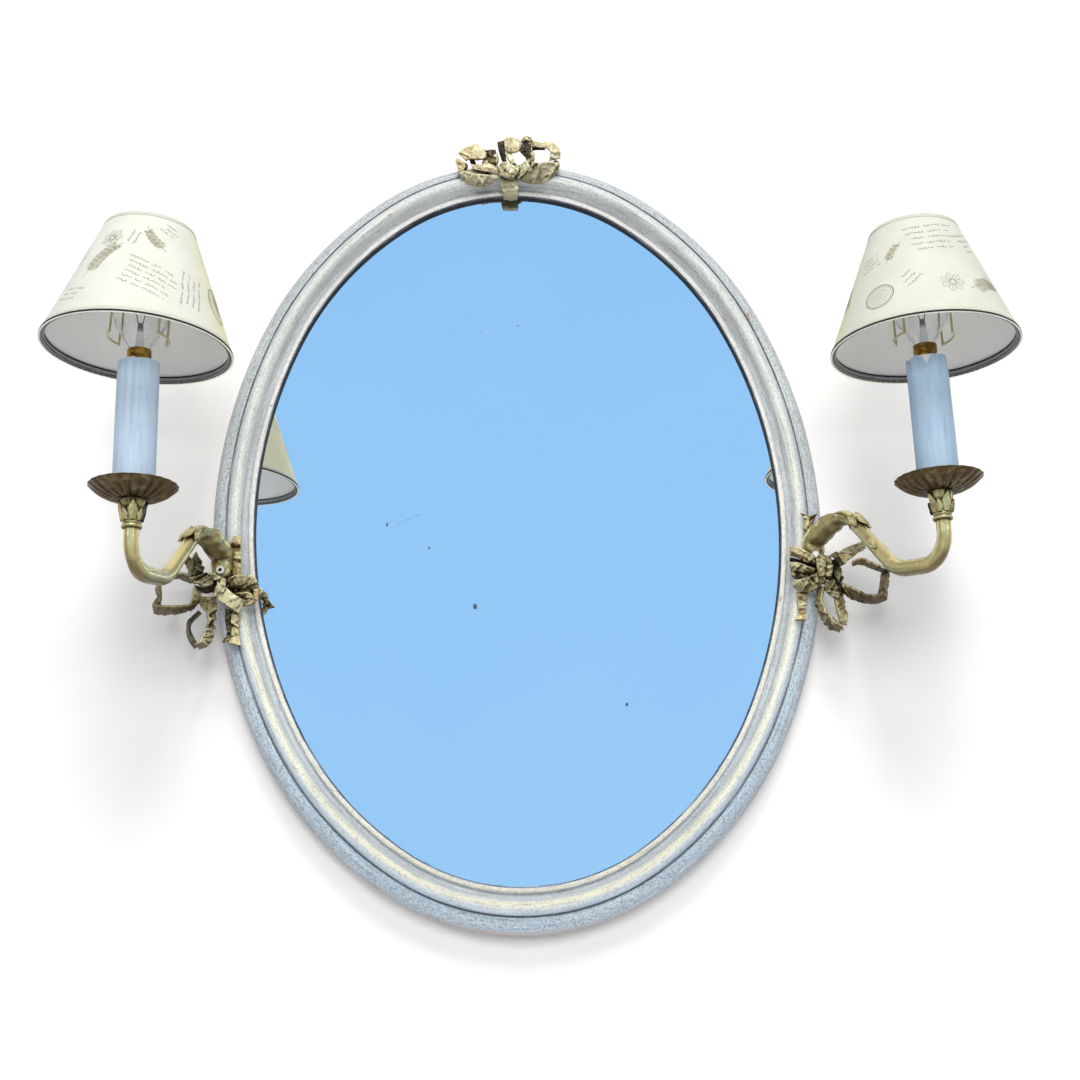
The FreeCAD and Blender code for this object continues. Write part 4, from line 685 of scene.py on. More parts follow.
def leaf(B, root, tip, width, face, bow=3.0, lobes=4, t=1.0, curl=0.25, seed=0, mat=0, rows=22, cols=13, cup=0.35):
    """Cast leaf from root to tip: lobed edge, raised midrib, bowed along its length."""
    root, tip, face = np.array(root, float), np.array(tip, float), np.array(face, float)
    L = np.linalg.norm(tip - root)
    T = (tip - root) / L
    face -= T * np.dot(face, T)
    face /= np.linalg.norm(face)
    S = np.cross(T, face)
    top, bot = [], []
    for i in range(rows):
        v = i / (rows - 1)
        hw = width / 2 * (math.sin(math.pi * min(1, 0.12 + 0.88 * v)) ** 0.75) * (1 - 0.18 * v)
        hw = max(hw, 0.25)
        for j in range(cols):
            u = -1 + 2 * j / (cols - 1)
            lob = 1 - 0.20 * abs(math.sin(math.pi * lobes * v)) * abs(u) ** 2
            off = bow * math.sin(math.pi * v) + curl * L * max(0, v - 0.7) ** 2 * 3.0
            vein = 0.28 * t * math.cos(u * math.pi * 3) * (1 - v)
            ridge = 0.8 * t * max(0.0, 1 - abs(u) * 5)
            q = noise.noise(Vector((root[0] + v * 6, u * 2 + seed, 0.3))) * 0.35
            c = root + T * (L * v - 0.1 * L * abs(u) * 0.5) + S * (hw * u * lob) + face * (off - cup * hw * abs(u) ** 1.6 + q)
            top.append(c + face * (t * 0.5 * (1 - 0.75 * abs(u) ** 4) + ridge + vein))
            bot.append(c - face * (t * 0.5 * (1 - 0.75 * abs(u) ** 4)))
    nt = len(top)
    V = top + bot
    F = []
    for i in range(rows - 1):
        for j in range(cols - 1):
            a, b, c, d = i * cols + j, i * cols + j + 1, (i + 1) * cols + j + 1, (i + 1) * cols + j
            F.append((a, b, c, d))
            F.append((nt + a, nt + d, nt + c, nt + b))
    for j in range(cols - 1):
        a, b = j, j + 1
        F.append((a, nt + a, nt + b, b))
        a, b = (rows - 1) * cols + j, (rows - 1) * cols + j + 1
        F.append((a, b, nt + b, nt + a))
    for i in range(rows - 1):
        a, d = i * cols, (i + 1) * cols
        F.append((a, d, nt + d, nt + a))
        a, d = i * cols + cols - 1, (i + 1) * cols + cols - 1
        F.append((a, nt + a, nt + d, d))
    B.add(V, F, mat)


def sweep(B, path, side_dirs, sections, mat=0, cap=True):
    """Closed sections, one per path point, as (across, out) pairs in that point's own frame."""
    P = np.asarray(path, float)
    T = np.gradient(P, axis=0)
    T /= np.linalg.norm(T, axis=1)[:, None]
    V = []
    k = len(sections[0])
    for i in range(len(P)):
        S = np.array(side_dirs[i], float)
        S -= T[i] * np.dot(S, T[i])
        S /= np.linalg.norm(S)
        U = np.cross(S, T[i])
        for a, b in sections[i]:
            V.append(P[i] + S * a + U * b)
    F = [(i * k + j, i * k + (j + 1) % k, (i + 1) * k + (j + 1) % k, (i + 1) * k + j) for i in range(len(P) - 1) for j in range(k)]
    if cap:
        F.append(tuple(range(k))[::-1])
        F.append(tuple((len(P) - 1) * k + j for j in range(k)))
    B.add(V, F, mat)


# ------------------------------------------------------------------ oval frame
SIDE_C, MID_C, END_C = (-144.829, 0.0, 362.829), (-45.208, 46.878, 252.7297), (0.0, 113.4, 172.3)


def oval_track(step=3.0):
    """Points of the outer edge, their outward normals and the length run so far."""
    out = []
    spans = [(0.0, 25.2, SIDE_C, 1, 1), (25.2, 55.8, MID_C, 1, 1), (55.8, 90.0, END_C, 1, 1)]
    quad = []
    for a, b, (cx, cz, R), _, _ in spans:
        n = max(2, int(round(math.radians(b - a) * R / step)))
        for k in range(n):
            t = math.radians(a + (b - a) * k / n)
            quad.append((cx + R * math.cos(t), cz + R * math.sin(t), math.cos(t), math.sin(t)))
    top = (0.0, 285.7, 0.0, 1.0)
    q1 = quad
    q2 = [(-x, z, -nx, nz) for x, z, nx, nz in reversed(quad[1:])]
    left = (-218.0, 0.0, -1.0, 0.0)
    q3 = [(-x, -z, -nx, -nz) for x, z, nx, nz in quad[1:]]
    bottom = (0.0, -285.7, 0.0, -1.0)
    q4 = [(x, -z, nx, -nz) for x, z, nx, nz in reversed(quad[1:])]
    ring = q1 + [top] + q2 + [left] + q3 + [bottom] + q4
    s, last = 0.0, ring[0]
    for r in ring:
        s += math.hypot(r[0] - last[0], r[1] - last[1])
        out.append((r[0], r[1], r[2], r[3], s))
        last = r
    return out


def make_frame():
    raw = [(0, 22), (0, 25), (1, 26.6), (2.6, 27), (4.2, 26.3), (5, 25), (6.6, 25.2), (8.2, 27.2), (9.4, 31), (11, 33.6),
           (13, 34.6), (15.4, 34), (17.6, 32), (18.9, 29.6), (19.1, 27.8), (19.8, 27.8), (20.1, 29.2), (22.6, 28.8),
           (25.6, 27), (28.4, 23.6), (30.4, 19.5), (31.2, 16.5), (31.2, 10), (29.5, 5), (8, 5), (8, 22)]
    prof = smooth_profile(raw, 5, sharp=(1, 5, 13, 14, 15, 16, 21, 22, 23, 24))
    track = oval_track()
    n, k = len(track), len(prof)
    V, band, along = [], [], []
    for i, (x, z, nx, nz, s) in enumerate(track):
        for d, h in prof:
            wear = 0.0
            if 8.0 < d < 31.1 and h > 11:
                wear = 0.10 * noise.noise(Vector((s * 0.03, d * 0.35, 1.7)))
            V.append((x + (d - 31.2) * nx, -(h + wear), z + (d - 31.2) * nz))
            band.append(d)
            along.append(s)
    F, fm = [], []
    for i in range(n):
        i2 = (i + 1) % n
        for j in range(k):
            j2 = (j + 1) % k
            F.append((i * k + j, i2 * k + j, i2 * k + j2, i * k + j2))
            (d0, h0), (d1, h1) = prof[j], prof[j2]
            if d0 < 0.01 and d1 < 0.01:
                m = 1
            elif max(h0, h1) <= 5.01 or (d0 <= 8.01 and d1 <= 8.01 and max(h0, h1) <= 22.01):
                m = 2
            else:
                m = 0
            fm.append(m)
    o = make_object("frame_moulding", V, F, ("paint", "lip", "raw"), fm, attrs={"band": band, "along": along})
    # seats, stem holes, nut counterbores and lead channels
    cutters = []
    for sgn in (-1, 1):
        x, z = sgn * 206.5, -36.0

        def cyl(r, y0, y1, nn=48):
            vv = []
            for y in (y0, y1):
                for q in range(nn):
                    t = 2 * math.pi * q / nn
                    vv.append((x + r * math.cos(t), y, z + r * math.sin(t)))
            ff = [(q, (q + 1) % nn, nn + (q + 1) % nn, nn + q) for q in range(nn)]
            ff += [tuple(range(nn))[::-1], tuple(range(nn, 2 * nn))]
            return vv, ff
        for name, (vv, ff) in (("seat", cyl(9.0, -56.0, -26.0)), ("hole", cyl(5.2, -40.0, -10.0)), ("cbore", cyl(10.5, -17.0, 6.0))):
            cutters.append(make_object("cut_%s_%d" % (name, sgn), vv, ff, ("raw",), smooth=False))
        x0 = x - 22 if sgn > 0 else x
        vv = [(x0 + a * 22, -15 + b * 12, z - 4.5 + c * 9) for a in (0, 1) for b in (0, 1) for c in (0, 1)]
        ff = [(0, 1, 3, 2), (4, 6, 7, 5), (0, 4, 5, 1), (2, 3, 7, 6), (0, 2, 6, 4), (1, 5, 7, 3)]
        cutters.append(make_object("cut_lead_%d" % sgn, vv, ff, ("raw",), smooth=False))
    for c in cutters:
        md = o.modifiers.new(c.name, "BOOLEAN")
        md.object = c
        md.operation = "DIFFERENCE"
        md.solver = "EXACT"
    dg = bpy.context.evaluated_depsgraph_get()
    me = bpy.data.meshes.new_from_object(o.evaluated_get(dg))
    o.modifiers.clear()
    old = o.data
    o.data = me
    me.name = "frame_moulding"
    bpy.data.meshes.remove(old)
    for c in cutters:
        cm = c.data
        bpy.data.objects.remove(c)
        bpy.data.meshes.remove(cm)
    me.set_sharp_from_angle(angle=math.radians(38))
    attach(o, BODY)
    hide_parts("oval_frame")
    return o


moulding = make_frame()


# ------------------------------------------------------------------ arms
def rounded(points, radii, step=1.2):
    """Polyline with each corner rounded to its radius, evenly stepped."""
    P = [np.array(p, float) for p in points]
    out = [P[0]]
    for k, rad in enumerate(radii):
        a, b, c = P[k], P[k + 1], P[k + 2]
        u, w = (a - b) / np.linalg.norm(a - b), (c - b) / np.linalg.norm(c - b)
        half = math.acos(max(-1, min(1, float(np.dot(u, w))))) / 2
        reach = rad / math.tan(half)
        t0, t1 = b + u * reach, b + w * reach
        mid = (u + w) / np.linalg.norm(u + w)
        centre = b + mid * (rad / math.sin(half))
        sweep_ang = math.pi - 2 * half
        n = max(4, int(rad * sweep_ang / step))
        e0 = (t0 - centre) / rad
        e1 = (t1 - centre) / rad
        e2 = e1 - e0 * float(np.dot(e0, e1))
        e2 /= np.linalg.norm(e2)
        for j in range(n + 1):
            an = sweep_ang * j / n
            out.append(centre + rad * (math.cos(an) * e0 + math.sin(an) * e2))
    out.append(P[-1])
    fine = [out[0]]
    for q in out[1:]:
        gap = np.linalg.norm(q - fine[-1])
        m = max(1, int(gap / step))
        base = fine[-1]
        for j in range(1, m + 1):
            fine.append(base + (q - base) * j / m)
    return np.array(fine)


def arm_space(side):
    """Turns (forward, height, sideways) of the arm's plane into row coordinates."""
    az = math.radians(AZIM[side])
    sg = SGN[side]
    fw = np.array([sg * math.sin(az), -math.cos(az), 0.0])
    sd = np.array([-fw[1], fw[0], 0.0])
    o = np.array([sg * 206.5, -38.0, 0.0])
    return o, fw, sd


def make_arm(side):
    o, fw, sd = arm_space(side)
    up = np.array([0, 0, 1.0])
    r = RISE[side]
    route = rounded([(0, -36), (0, -24), (36, -12), (84, -62 + r), (130.5, -68 + r), (130.5, -34 + r)], [10, 20, 28, 18])

    def place(s, z, w=0.0):
        return o + fw * s + up * z + sd * w
    B = Build()
    path = np.array([place(s, z) for s, z in route])
    dist = np.concatenate([[0], np.cumsum(np.linalg.norm(np.diff(route, axis=0), axis=1))])
    total = dist[-1]
    # tube: lightly ribbed, fuller at the low bend, scaled like a fish skin on its outer side
    nn = 40
    secs = []
    for i, dd in enumerate(dist):
        f = dd / total
        rad = 4.35 + 0.45 * math.exp(-((f - 0.72) / 0.13) ** 2)
        if f < 0.30:
            rad = 4.0
        sec = []
        for j in range(nn):
            t = 2 * math.pi * j / nn
            ridge = 0.24 * abs(math.cos(4 * t + 0.35 * math.sin(dd * 0.11))) ** 0.6
            under = max(0.0, -math.cos(t))          # 0 on top, 1 at the outer side of the bend
            gate = max(0.0, min(1.0, (f - 0.55) / 0.06)) * max(0.0, min(1.0, (0.86 - f) / 0.06))
            row = dd / 3.4
            stag = 0.5 if int(math.floor(row)) % 2 else 0.0
            scale = (1 - (row % 1.0)) * 0.80 * abs(math.sin(8 * t + math.pi * stag))
            rr = rad + ridge + gate * scale * (0.35 + 0.65 * under) + 0.12 * noise.noise(Vector((dd * 0.4, t, 5.1)))
            sec.append((rr * math.sin(t), rr * math.cos(t)))
        secs.append(sec)
    sweep(B, path, [sd] * len(path), secs, 0)
    # gutter-shaped scroll leaf that springs from the root, over the arch and out along the tube
    last = int(np.searchsorted(dist, 64.0))
    sub = path[:last]
    gs = []
    for i in range(last):
        f = dist[i] / dist[last - 1]
        wide = 6.9 + 1.5 * math.sin(math.pi * min(1.0, f * 1.35)) - 2.2 * max(0, f - 0.62) / 0.38
        wide += 0.55 * math.sin(f * 26.0) * (0.4 + 0.6 * f)
        half = math.radians(128 - 34 * f)
        outer, inner = [], []
        for j in range(17):
            a = -half + 2 * half * j / 16
            lipo = 0.7 * max(0.0, abs(a) / half - 0.72) / 0.28
            rib = 0.28 * math.cos(a * 7)
            rr = wide * (1 + 0.04 * math.sin(f * 40 + j)) + lipo + rib
            outer.append((rr * math.sin(a), rr * 0.92 * math.cos(a)))
            ri = wide - 1.35 + lipo * 0.8
            inner.append((ri * math.sin(a), ri * 0.92 * math.cos(a)))
        gs.append(outer + inner[::-1])
    sweep(B, sub, [sd] * len(sub), gs, 0)
    # leaf tips where the scroll leaf ends, and smaller leaves along the falling run
    end = int(np.searchsorted(dist, 60.0))
    Tn = path[end + 3] - path[end]
    Tn /= np.linalg.norm(Tn)
    nrm = np.cross(sd, Tn)
    nrm /= np.linalg.norm(nrm)
    if nrm[2] < 0:
        nrm = -nrm
    for k, (ang, ln, wd, lift) in enumerate(((0, 17, 9.5, 2.4), (62, 14, 7.0, 2.0), (-62, 14, 7.0, 2.0))):
        a = math.radians(ang)
        face = nrm * math.cos(a) + sd * math.sin(a)
        base = path[end - 3] + face * 5.0
        tip = base + Tn * ln + face * (0.8 if k else 1.6)
        leaf(B, base, tip, wd, face, bow=1.2, lobes=3, t=1.1, curl=0.16, seed=k + 1)
    for k, dd in enumerate((82.0, 84.5) if side == "right" else ()):
        e = int(np.searchsorted(dist, dd))
        T2 = path[e + 3] - path[e]
        T2 /= np.linalg.norm(T2)
        n2 = np.cross(sd, T2)
        n2 /= np.linalg.norm(n2)
        if n2[2] < 0:
            n2 = -n2
        for s2 in (-1, 1):
            face = n2 * 0.35 + sd * s2 * 0.94
            base = path[e] + face * 3.4
            leaf(B, base, base + T2 * 10.5 + face * 1.2, 6.4, face, bow=0.9, lobes=3, t=1.0, curl=0.18, seed=7 + k + s2)
    # root: disc, boss and cap dome
    x0, z0 = SGN[side] * 206.5, -36.0
    rp = [(0.0, -13.5), (4.9, -13.5), (4.9, -26.0), (8.8, -26.0), (8.8, -30.0), (8.2, -31.0), (6.9, -31.4), (6.4, -33.0), (6.4, -41.6),
          (5.8, -43.0), (4.2, -43.6), (0.0, -43.6)]
    n = 48
    V, F = [], []
    for i in range(n):
        t = 2 * math.pi * i / n
        for rr, yy in rp:
            V.append((x0 + rr * math.cos(t), yy, z0 + rr * math.sin(t)))
    kk = len(rp)
    for i in range(n):
        for j in range(kk - 1):
            a, b = i * kk + j, i * kk + j + 1
            c, d = ((i + 1) % n) * kk + j + 1, ((i + 1) % n) * kk + j
            F.append((a, b, c, d))
    B.add(V, F, 0)
    return B.done(side + "_arm_cast", ("arm",))


def make_cup(side):
    """Leaf cup under the pan with a beaded ring below it."""
    lx, ly, lz = LAMP[side]
    B = Build()
    prof = [(4.7, -41.0), (5.8, -41.0), (6.35, -40.4), (6.35, -39.2), (5.7, -38.6), (5.3, -38.2), (5.7, -37.8), (5.9, -37.4), (5.6, -36.9),
            (5.5, -35.5), (5.7, -33.0), (6.1, -29.8), (6.7, -26.4), (7.5, -23.2), (7.8, -22.3), (5.1, -22.3), (5.1, -34.0), (4.7, -34.0)]

    def mod(r, z, t, j):
        if -36.8 < z < -22.4 and r > 5.3:
            f = (z + 36.8) / 14.4
            r += 0.28 * math.cos(8 * t) * (0.4 + f)
        return r, z
    V, F = lathe(prof, 96, (lx, ly, lz), mod)
    B.add(V, F, 0)
    for k in range(4):
        for lay, (z0, z1, wd, rr0, rr1, off) in enumerate(((-36.6, -23.2, 8.4, 5.7, 8.2, 0.0), (-36.6, -28.4, 6.4, 5.9, 7.4, 0.5))):
            a = math.pi / 2 * (k + off) + math.radians(-74)
            out = np.array([math.cos(a), math.sin(a), 0])
            root = np.array([lx, ly, lz + z0]) + out * rr0
            tip = np.array([lx, ly, lz + z1]) + out * rr1
            leaf(B, root, tip, wd, out, bow=0.25, lobes=2, t=0.8, curl=0.02, seed=k, cup=0.42, rows=16, cols=9)
    return B.done(side + "_cup_cast", ("arm",))


def make_pan(side):
    """Cast drip pan with gadroons that spread from its centre to a scalloped rim."""
    lx, ly, lz = LAMP[side]
    under = smooth_profile([(5.15, -22.2), (8.4, -22.3), (11.0, -22.0), (14.5, -20.9), (19.5, -18.6), (23.6, -16.6), (26.4, -14.9), (27.2, -14.2)], 5)
    over = smooth_profile([(27.2, -14.2), (27.3, -13.9), (26.6, -13.7), (23.6, -15.2), (19.0, -17.4), (13.6, -19.9), (11.0, -20.9), (5.15, -21.0)], 4)
    prof = under + over[1:]
    nu = len(under)
    lobes = 22

    def mod(r, z, t, j):
        f = max(0.0, min(1.0, (r - 8.5) / 18.0))
        g = abs(math.sin(lobes * t / 2)) ** 0.7
        if j < nu:
            z -= 2.3 * g * math.sin(math.pi * min(1.0, f * 0.92 + 0.06)) * (0.45 + 0.55 * f)
        else:
            z -= 0.7 * g * math.sin(math.pi * f) * f
        r += (-0.55 + 0.75 * g) * f ** 3
        return min(r, 27.5), z
    V, F = lathe(prof, 320, (lx, ly, lz), mod)
    B = Build()
    B.add(V, F, 0)
    return B.done(side + "_pan_cast", ("bronze",))


# ------------------------------------------------------------------ bows
# Each band: band shade (painted shade that darkens the band), warmth, doming, fold depth, then its two edges as (x, z,
# y) points in millimetres.
LEFT_BANDS = [
    (0.1, 0.5, 0.6, 0.7, [(-199.3, -10.3, -39.0), (-201.5, -16.8, -40.0), (-201.4, -18.6, -37.0), (-202.0, -24.6, -40.0), (-200.5, -30.7, -38.0), (-198.9, -38.8, -38.0)],
     [(-193.8, -10.1, -38.5), (-193.9, -16.6, -40.0), (-194.1, -18.8, -37.0), (-193.4, -24.7, -39.6), (-193.4, -30.9, -38.0), (-192.7, -39.9, -38.0)]),
    (0.3, 0.1, 1.2, 0.8, [(-203.2, -42.9, -44.0), (-197.5, -40.9, -47.0), (-191.5, -40.5, -47.5), (-185.0, -40.9, -47.0), (-181.6, -43.0, -45.0), (-180.3, -46.4, -43.0)],
     [(-203.7, -47.6, -41.0), (-199.1, -49.2, -42.0), (-193.0, -49.0, -42.5), (-187.4, -48.8, -42.5), (-185.0, -48.8, -41.5), (-183.7, -49.1, -41.0)]),
    (1, 0, 0.2, 0.3, [(-187.8, -41.3, -41.0), (-187.4, -44.1, -40.0), (-188.4, -47.8, -40.0)],
     [(-183.5, -41.9, -41.0), (-183.2, -44.7, -40.0), (-184.4, -48.1, -40.0)]),
    (0.15, 0.6, 0.5, 0.6, [(-185.1, -48.1, -41.0), (-183.7, -51.9, -42.5), (-184.5, -56.3, -42.5), (-186.4, -60.3, -41.0)],
     [(-180.8, -46.9, -40.0), (-179.7, -51.8, -41.5), (-180.5, -56.2, -41.5), (-183.6, -60.2, -40.0)]),
    (0.45, 0.1, 0.9, 0.7, [(-181.6, -46.6, -39.5), (-178.6, -49.6, -40.0), (-175.4, -53.4, -39.0)],
     [(-182.0, -51.4, -40.5), (-180.2, -54.6, -41.5), (-176.2, -54.6, -39.5)]),
    (0.95, 0, 0.2, 0.4, [(-199.3, -49.7, -41.0), (-195.0, -50.0, -41.0), (-190.7, -50.6, -41.0)],
     [(-199.0, -53.0, -40.5), (-194.7, -53.4, -40.5), (-190.9, -53.0, -40.5)]),
    (0.12, 0.5, 0.8, 0.6, [(-201.4, -52.9, -43.0), (-195.9, -53.2, -45.0), (-189.9, -52.7, -46.0), (-185.0, -53.6, -45.5), (-183.7, -56.7, -44.0), (-185.3, -60.6, -43.0), (-190.8, -61.1, -42.0)],
     [(-201.0, -54.7, -41.5), (-196.1, -55.0, -42.0), (-190.7, -55.1, -42.5), (-188.4, -55.6, -42.5), (-188.0, -56.8, -42.0), (-189.1, -58.1, -41.5), (-192.1, -58.7, -41.0)]),
    (0.1, 0.1, 0.7, 0.7, [(-205.7, -42.3, -47.0), (-201.8, -48.6, -48.6), (-195.7, -54.1, -48.0), (-189.0, -57.7, -44.5)],
     [(-211.3, -53.1, -45.0), (-206.3, -58.0, -48.0), (-200.0, -62.9, -48.0), (-193.5, -66.8, -44.0)]),
    (0.2, 0, 1, 0.8, [(-207.5, -41.3, -46.0), (-207.6, -47.9, -50.0), (-209.9, -54.7, -48.5)],
     [(-201.8, -42.5, -46.0), (-201.7, -48.9, -50.0), (-203.5, -56.6, -48.5)]),
    (0.12, 0.2, 0.5, 0.8, [(-198.6, -62.9, -38.5), (-199.1, -69.3, -39.5), (-199.1, -75.1, -37.8), (-199.3, -80.3, -39.0), (-202.5, -86.0, -42.0)],
     [(-194.3, -65.1, -39.0), (-193.8, -71.2, -39.5), (-194.1, -76.7, -38.0), (-193.3, -81.6, -39.0), (-191.4, -88.8, -41.5)]),
    (0.55, 0, 0.4, 0.6, [(-204.0, -61.7, -37.5), (-203.7, -68.9, -38.0), (-202.9, -74.8, -37.0), (-202.3, -80.1, -38.4), (-204.5, -85.7, -41.5)],
     [(-198.2, -62.8, -38.0), (-198.3, -69.3, -39.2), (-198.3, -75.1, -37.8), (-198.6, -80.6, -39.0), (-200.1, -85.6, -42.2)]),
    (0.35, 0.1, 0.6, 1.2, [(-221.1, -53.6, -43.0), (-219.9, -60.1, -44.0), (-215.3, -65.3, -44.0), (-213.6, -70.9, -44.5), (-214.1, -76.7, -45.0)],
     [(-209.6, -54.7, -44.0), (-208.7, -59.7, -41.0), (-209.6, -64.5, -39.0), (-210.6, -69.6, -38.0), (-211.2, -75.8, -37.5)]),
    (0.08, 0.2, 0.7, 0.7, [(-213.8, -76.8, -46.0), (-216.1, -81.1, -47.0), (-217.9, -86.2, -48.0), (-221.4, -88.4, -47.0)],
     [(-210.9, -75.9, -39.0), (-211.0, -82.1, -38.5), (-214.2, -87.2, -38.0), (-220.6, -89.8, -38.0)]),
    (0.92, 0.1, 0.3, 0.3, [(-220.4, -88.2, -47.0), (-223.3, -84.0, -47.0), (-226.1, -77.9, -46.5), (-225.0, -72.1, -46.0), (-219.0, -65.6, -45.0)],
     [(-223.8, -89.5, -38.0), (-228.1, -83.8, -37.0), (-230.1, -75.8, -37.0), (-228.8, -68.9, -37.0), (-221.9, -62.6, -38.0)]),
    (0.42, 0.5, 0.9, 0.6, [(-251.8, -58.8, -47.0), (-246.8, -60.9, -48.5), (-239.2, -61.9, -49.0), (-230.8, -61.7, -48.5), (-224.9, -60.4, -47.5), (-220.9, -56.8, -46.0)],
     [(-252.6, -63.9, -37.5), (-247.1, -65.1, -36.5), (-240.0, -64.7, -36.5), (-233.1, -63.8, -37.0), (-228.7, -62.1, -37.5), (-224.0, -59.7, -39.0)]),
    (0.8, 0.3, 0.3, 0.4, [(-247.3, -44.3, -47.0), (-246.8, -49.6, -47.5), (-246.0, -54.3, -48.0), (-246.9, -60.2, -48.0)],
     [(-251.4, -42.4, -38.0), (-252.0, -47.1, -37.5), (-251.4, -52.0, -37.0), (-254.1, -57.2, -37.0)]),
    (0, 0.6, 0.5, 0.5, [(-249.7, -42.9, -39.0), (-243.3, -40.3, -38.0), (-235.6, -40.2, -38.0), (-230.2, -42.4, -38.5), (-224.3, -44.5, -40.0)],
     [(-246.8, -39.9, -46.0), (-240.7, -38.1, -46.0), (-233.0, -37.8, -46.0), (-227.8, -39.8, -46.0), (-222.6, -41.9, -46.0)]),
    (0.1, 0.3, 0.5, 0.9, [(-223.9, -45.9, -45.0), (-224.7, -51.6, -46.0), (-224.9, -56.0, -46.0), (-226.7, -60.6, -47.0)],
     [(-218.1, -47.8, -42.0), (-220.0, -52.2, -42.0), (-220.4, -56.1, -42.0), (-222.0, -59.9, -42.0)]),
    (0.3, 0, 0.6, 1.6, [(-224.2, -22.1, -43.0), (-226.0, -28.8, -47.0), (-227.6, -34.6, -49.0), (-227.3, -41.5, -47.0)],
     [(-221.0, -27.1, -40.0), (-218.6, -32.3, -42.0), (-218.3, -37.3, -44.0), (-220.4, -42.6, -44.0)]),
    (0.18, 0, 0.8, 1.4, [(-227.3, -41.5, -47.0), (-221.2, -46.2, -48.0), (-214.3, -48.1, -48.0), (-208.6, -45.1, -46.0)],
     [(-221.4, -38.6, -44.0), (-217.8, -37.7, -45.0), (-212.9, -38.5, -46.0), (-209.2, -41.8, -46.0)]),
    (0.05, 0.1, 0.6, 0.9, [(-213.7, -39.1, -47.0), (-210.1, -43.5, -49.0), (-206.1, -45.3, -48.0)],
     [(-210.9, -38.0, -46.0), (-206.6, -40.9, -48.0), (-203.8, -43.2, -47.0)]),
    (0.85, 0, 0.4, 0.6, [(-221.8, -47.6, -45.0), (-214.9, -48.6, -45.0), (-208.8, -46.1, -45.0)],
     [(-221.4, -50.8, -42.0), (-215.4, -51.4, -42.0), (-210.1, -51.3, -43.0)]),
    (0.5, 0.1, 0.5, 0.7, [(-232.9, -28.8, -48.0), (-229.3, -33.4, -48.0), (-227.4, -39.4, -47.0)],
     [(-228.2, -25.6, -50.0), (-224.3, -30.5, -50.0), (-224.7, -36.4, -49.0)]),
]
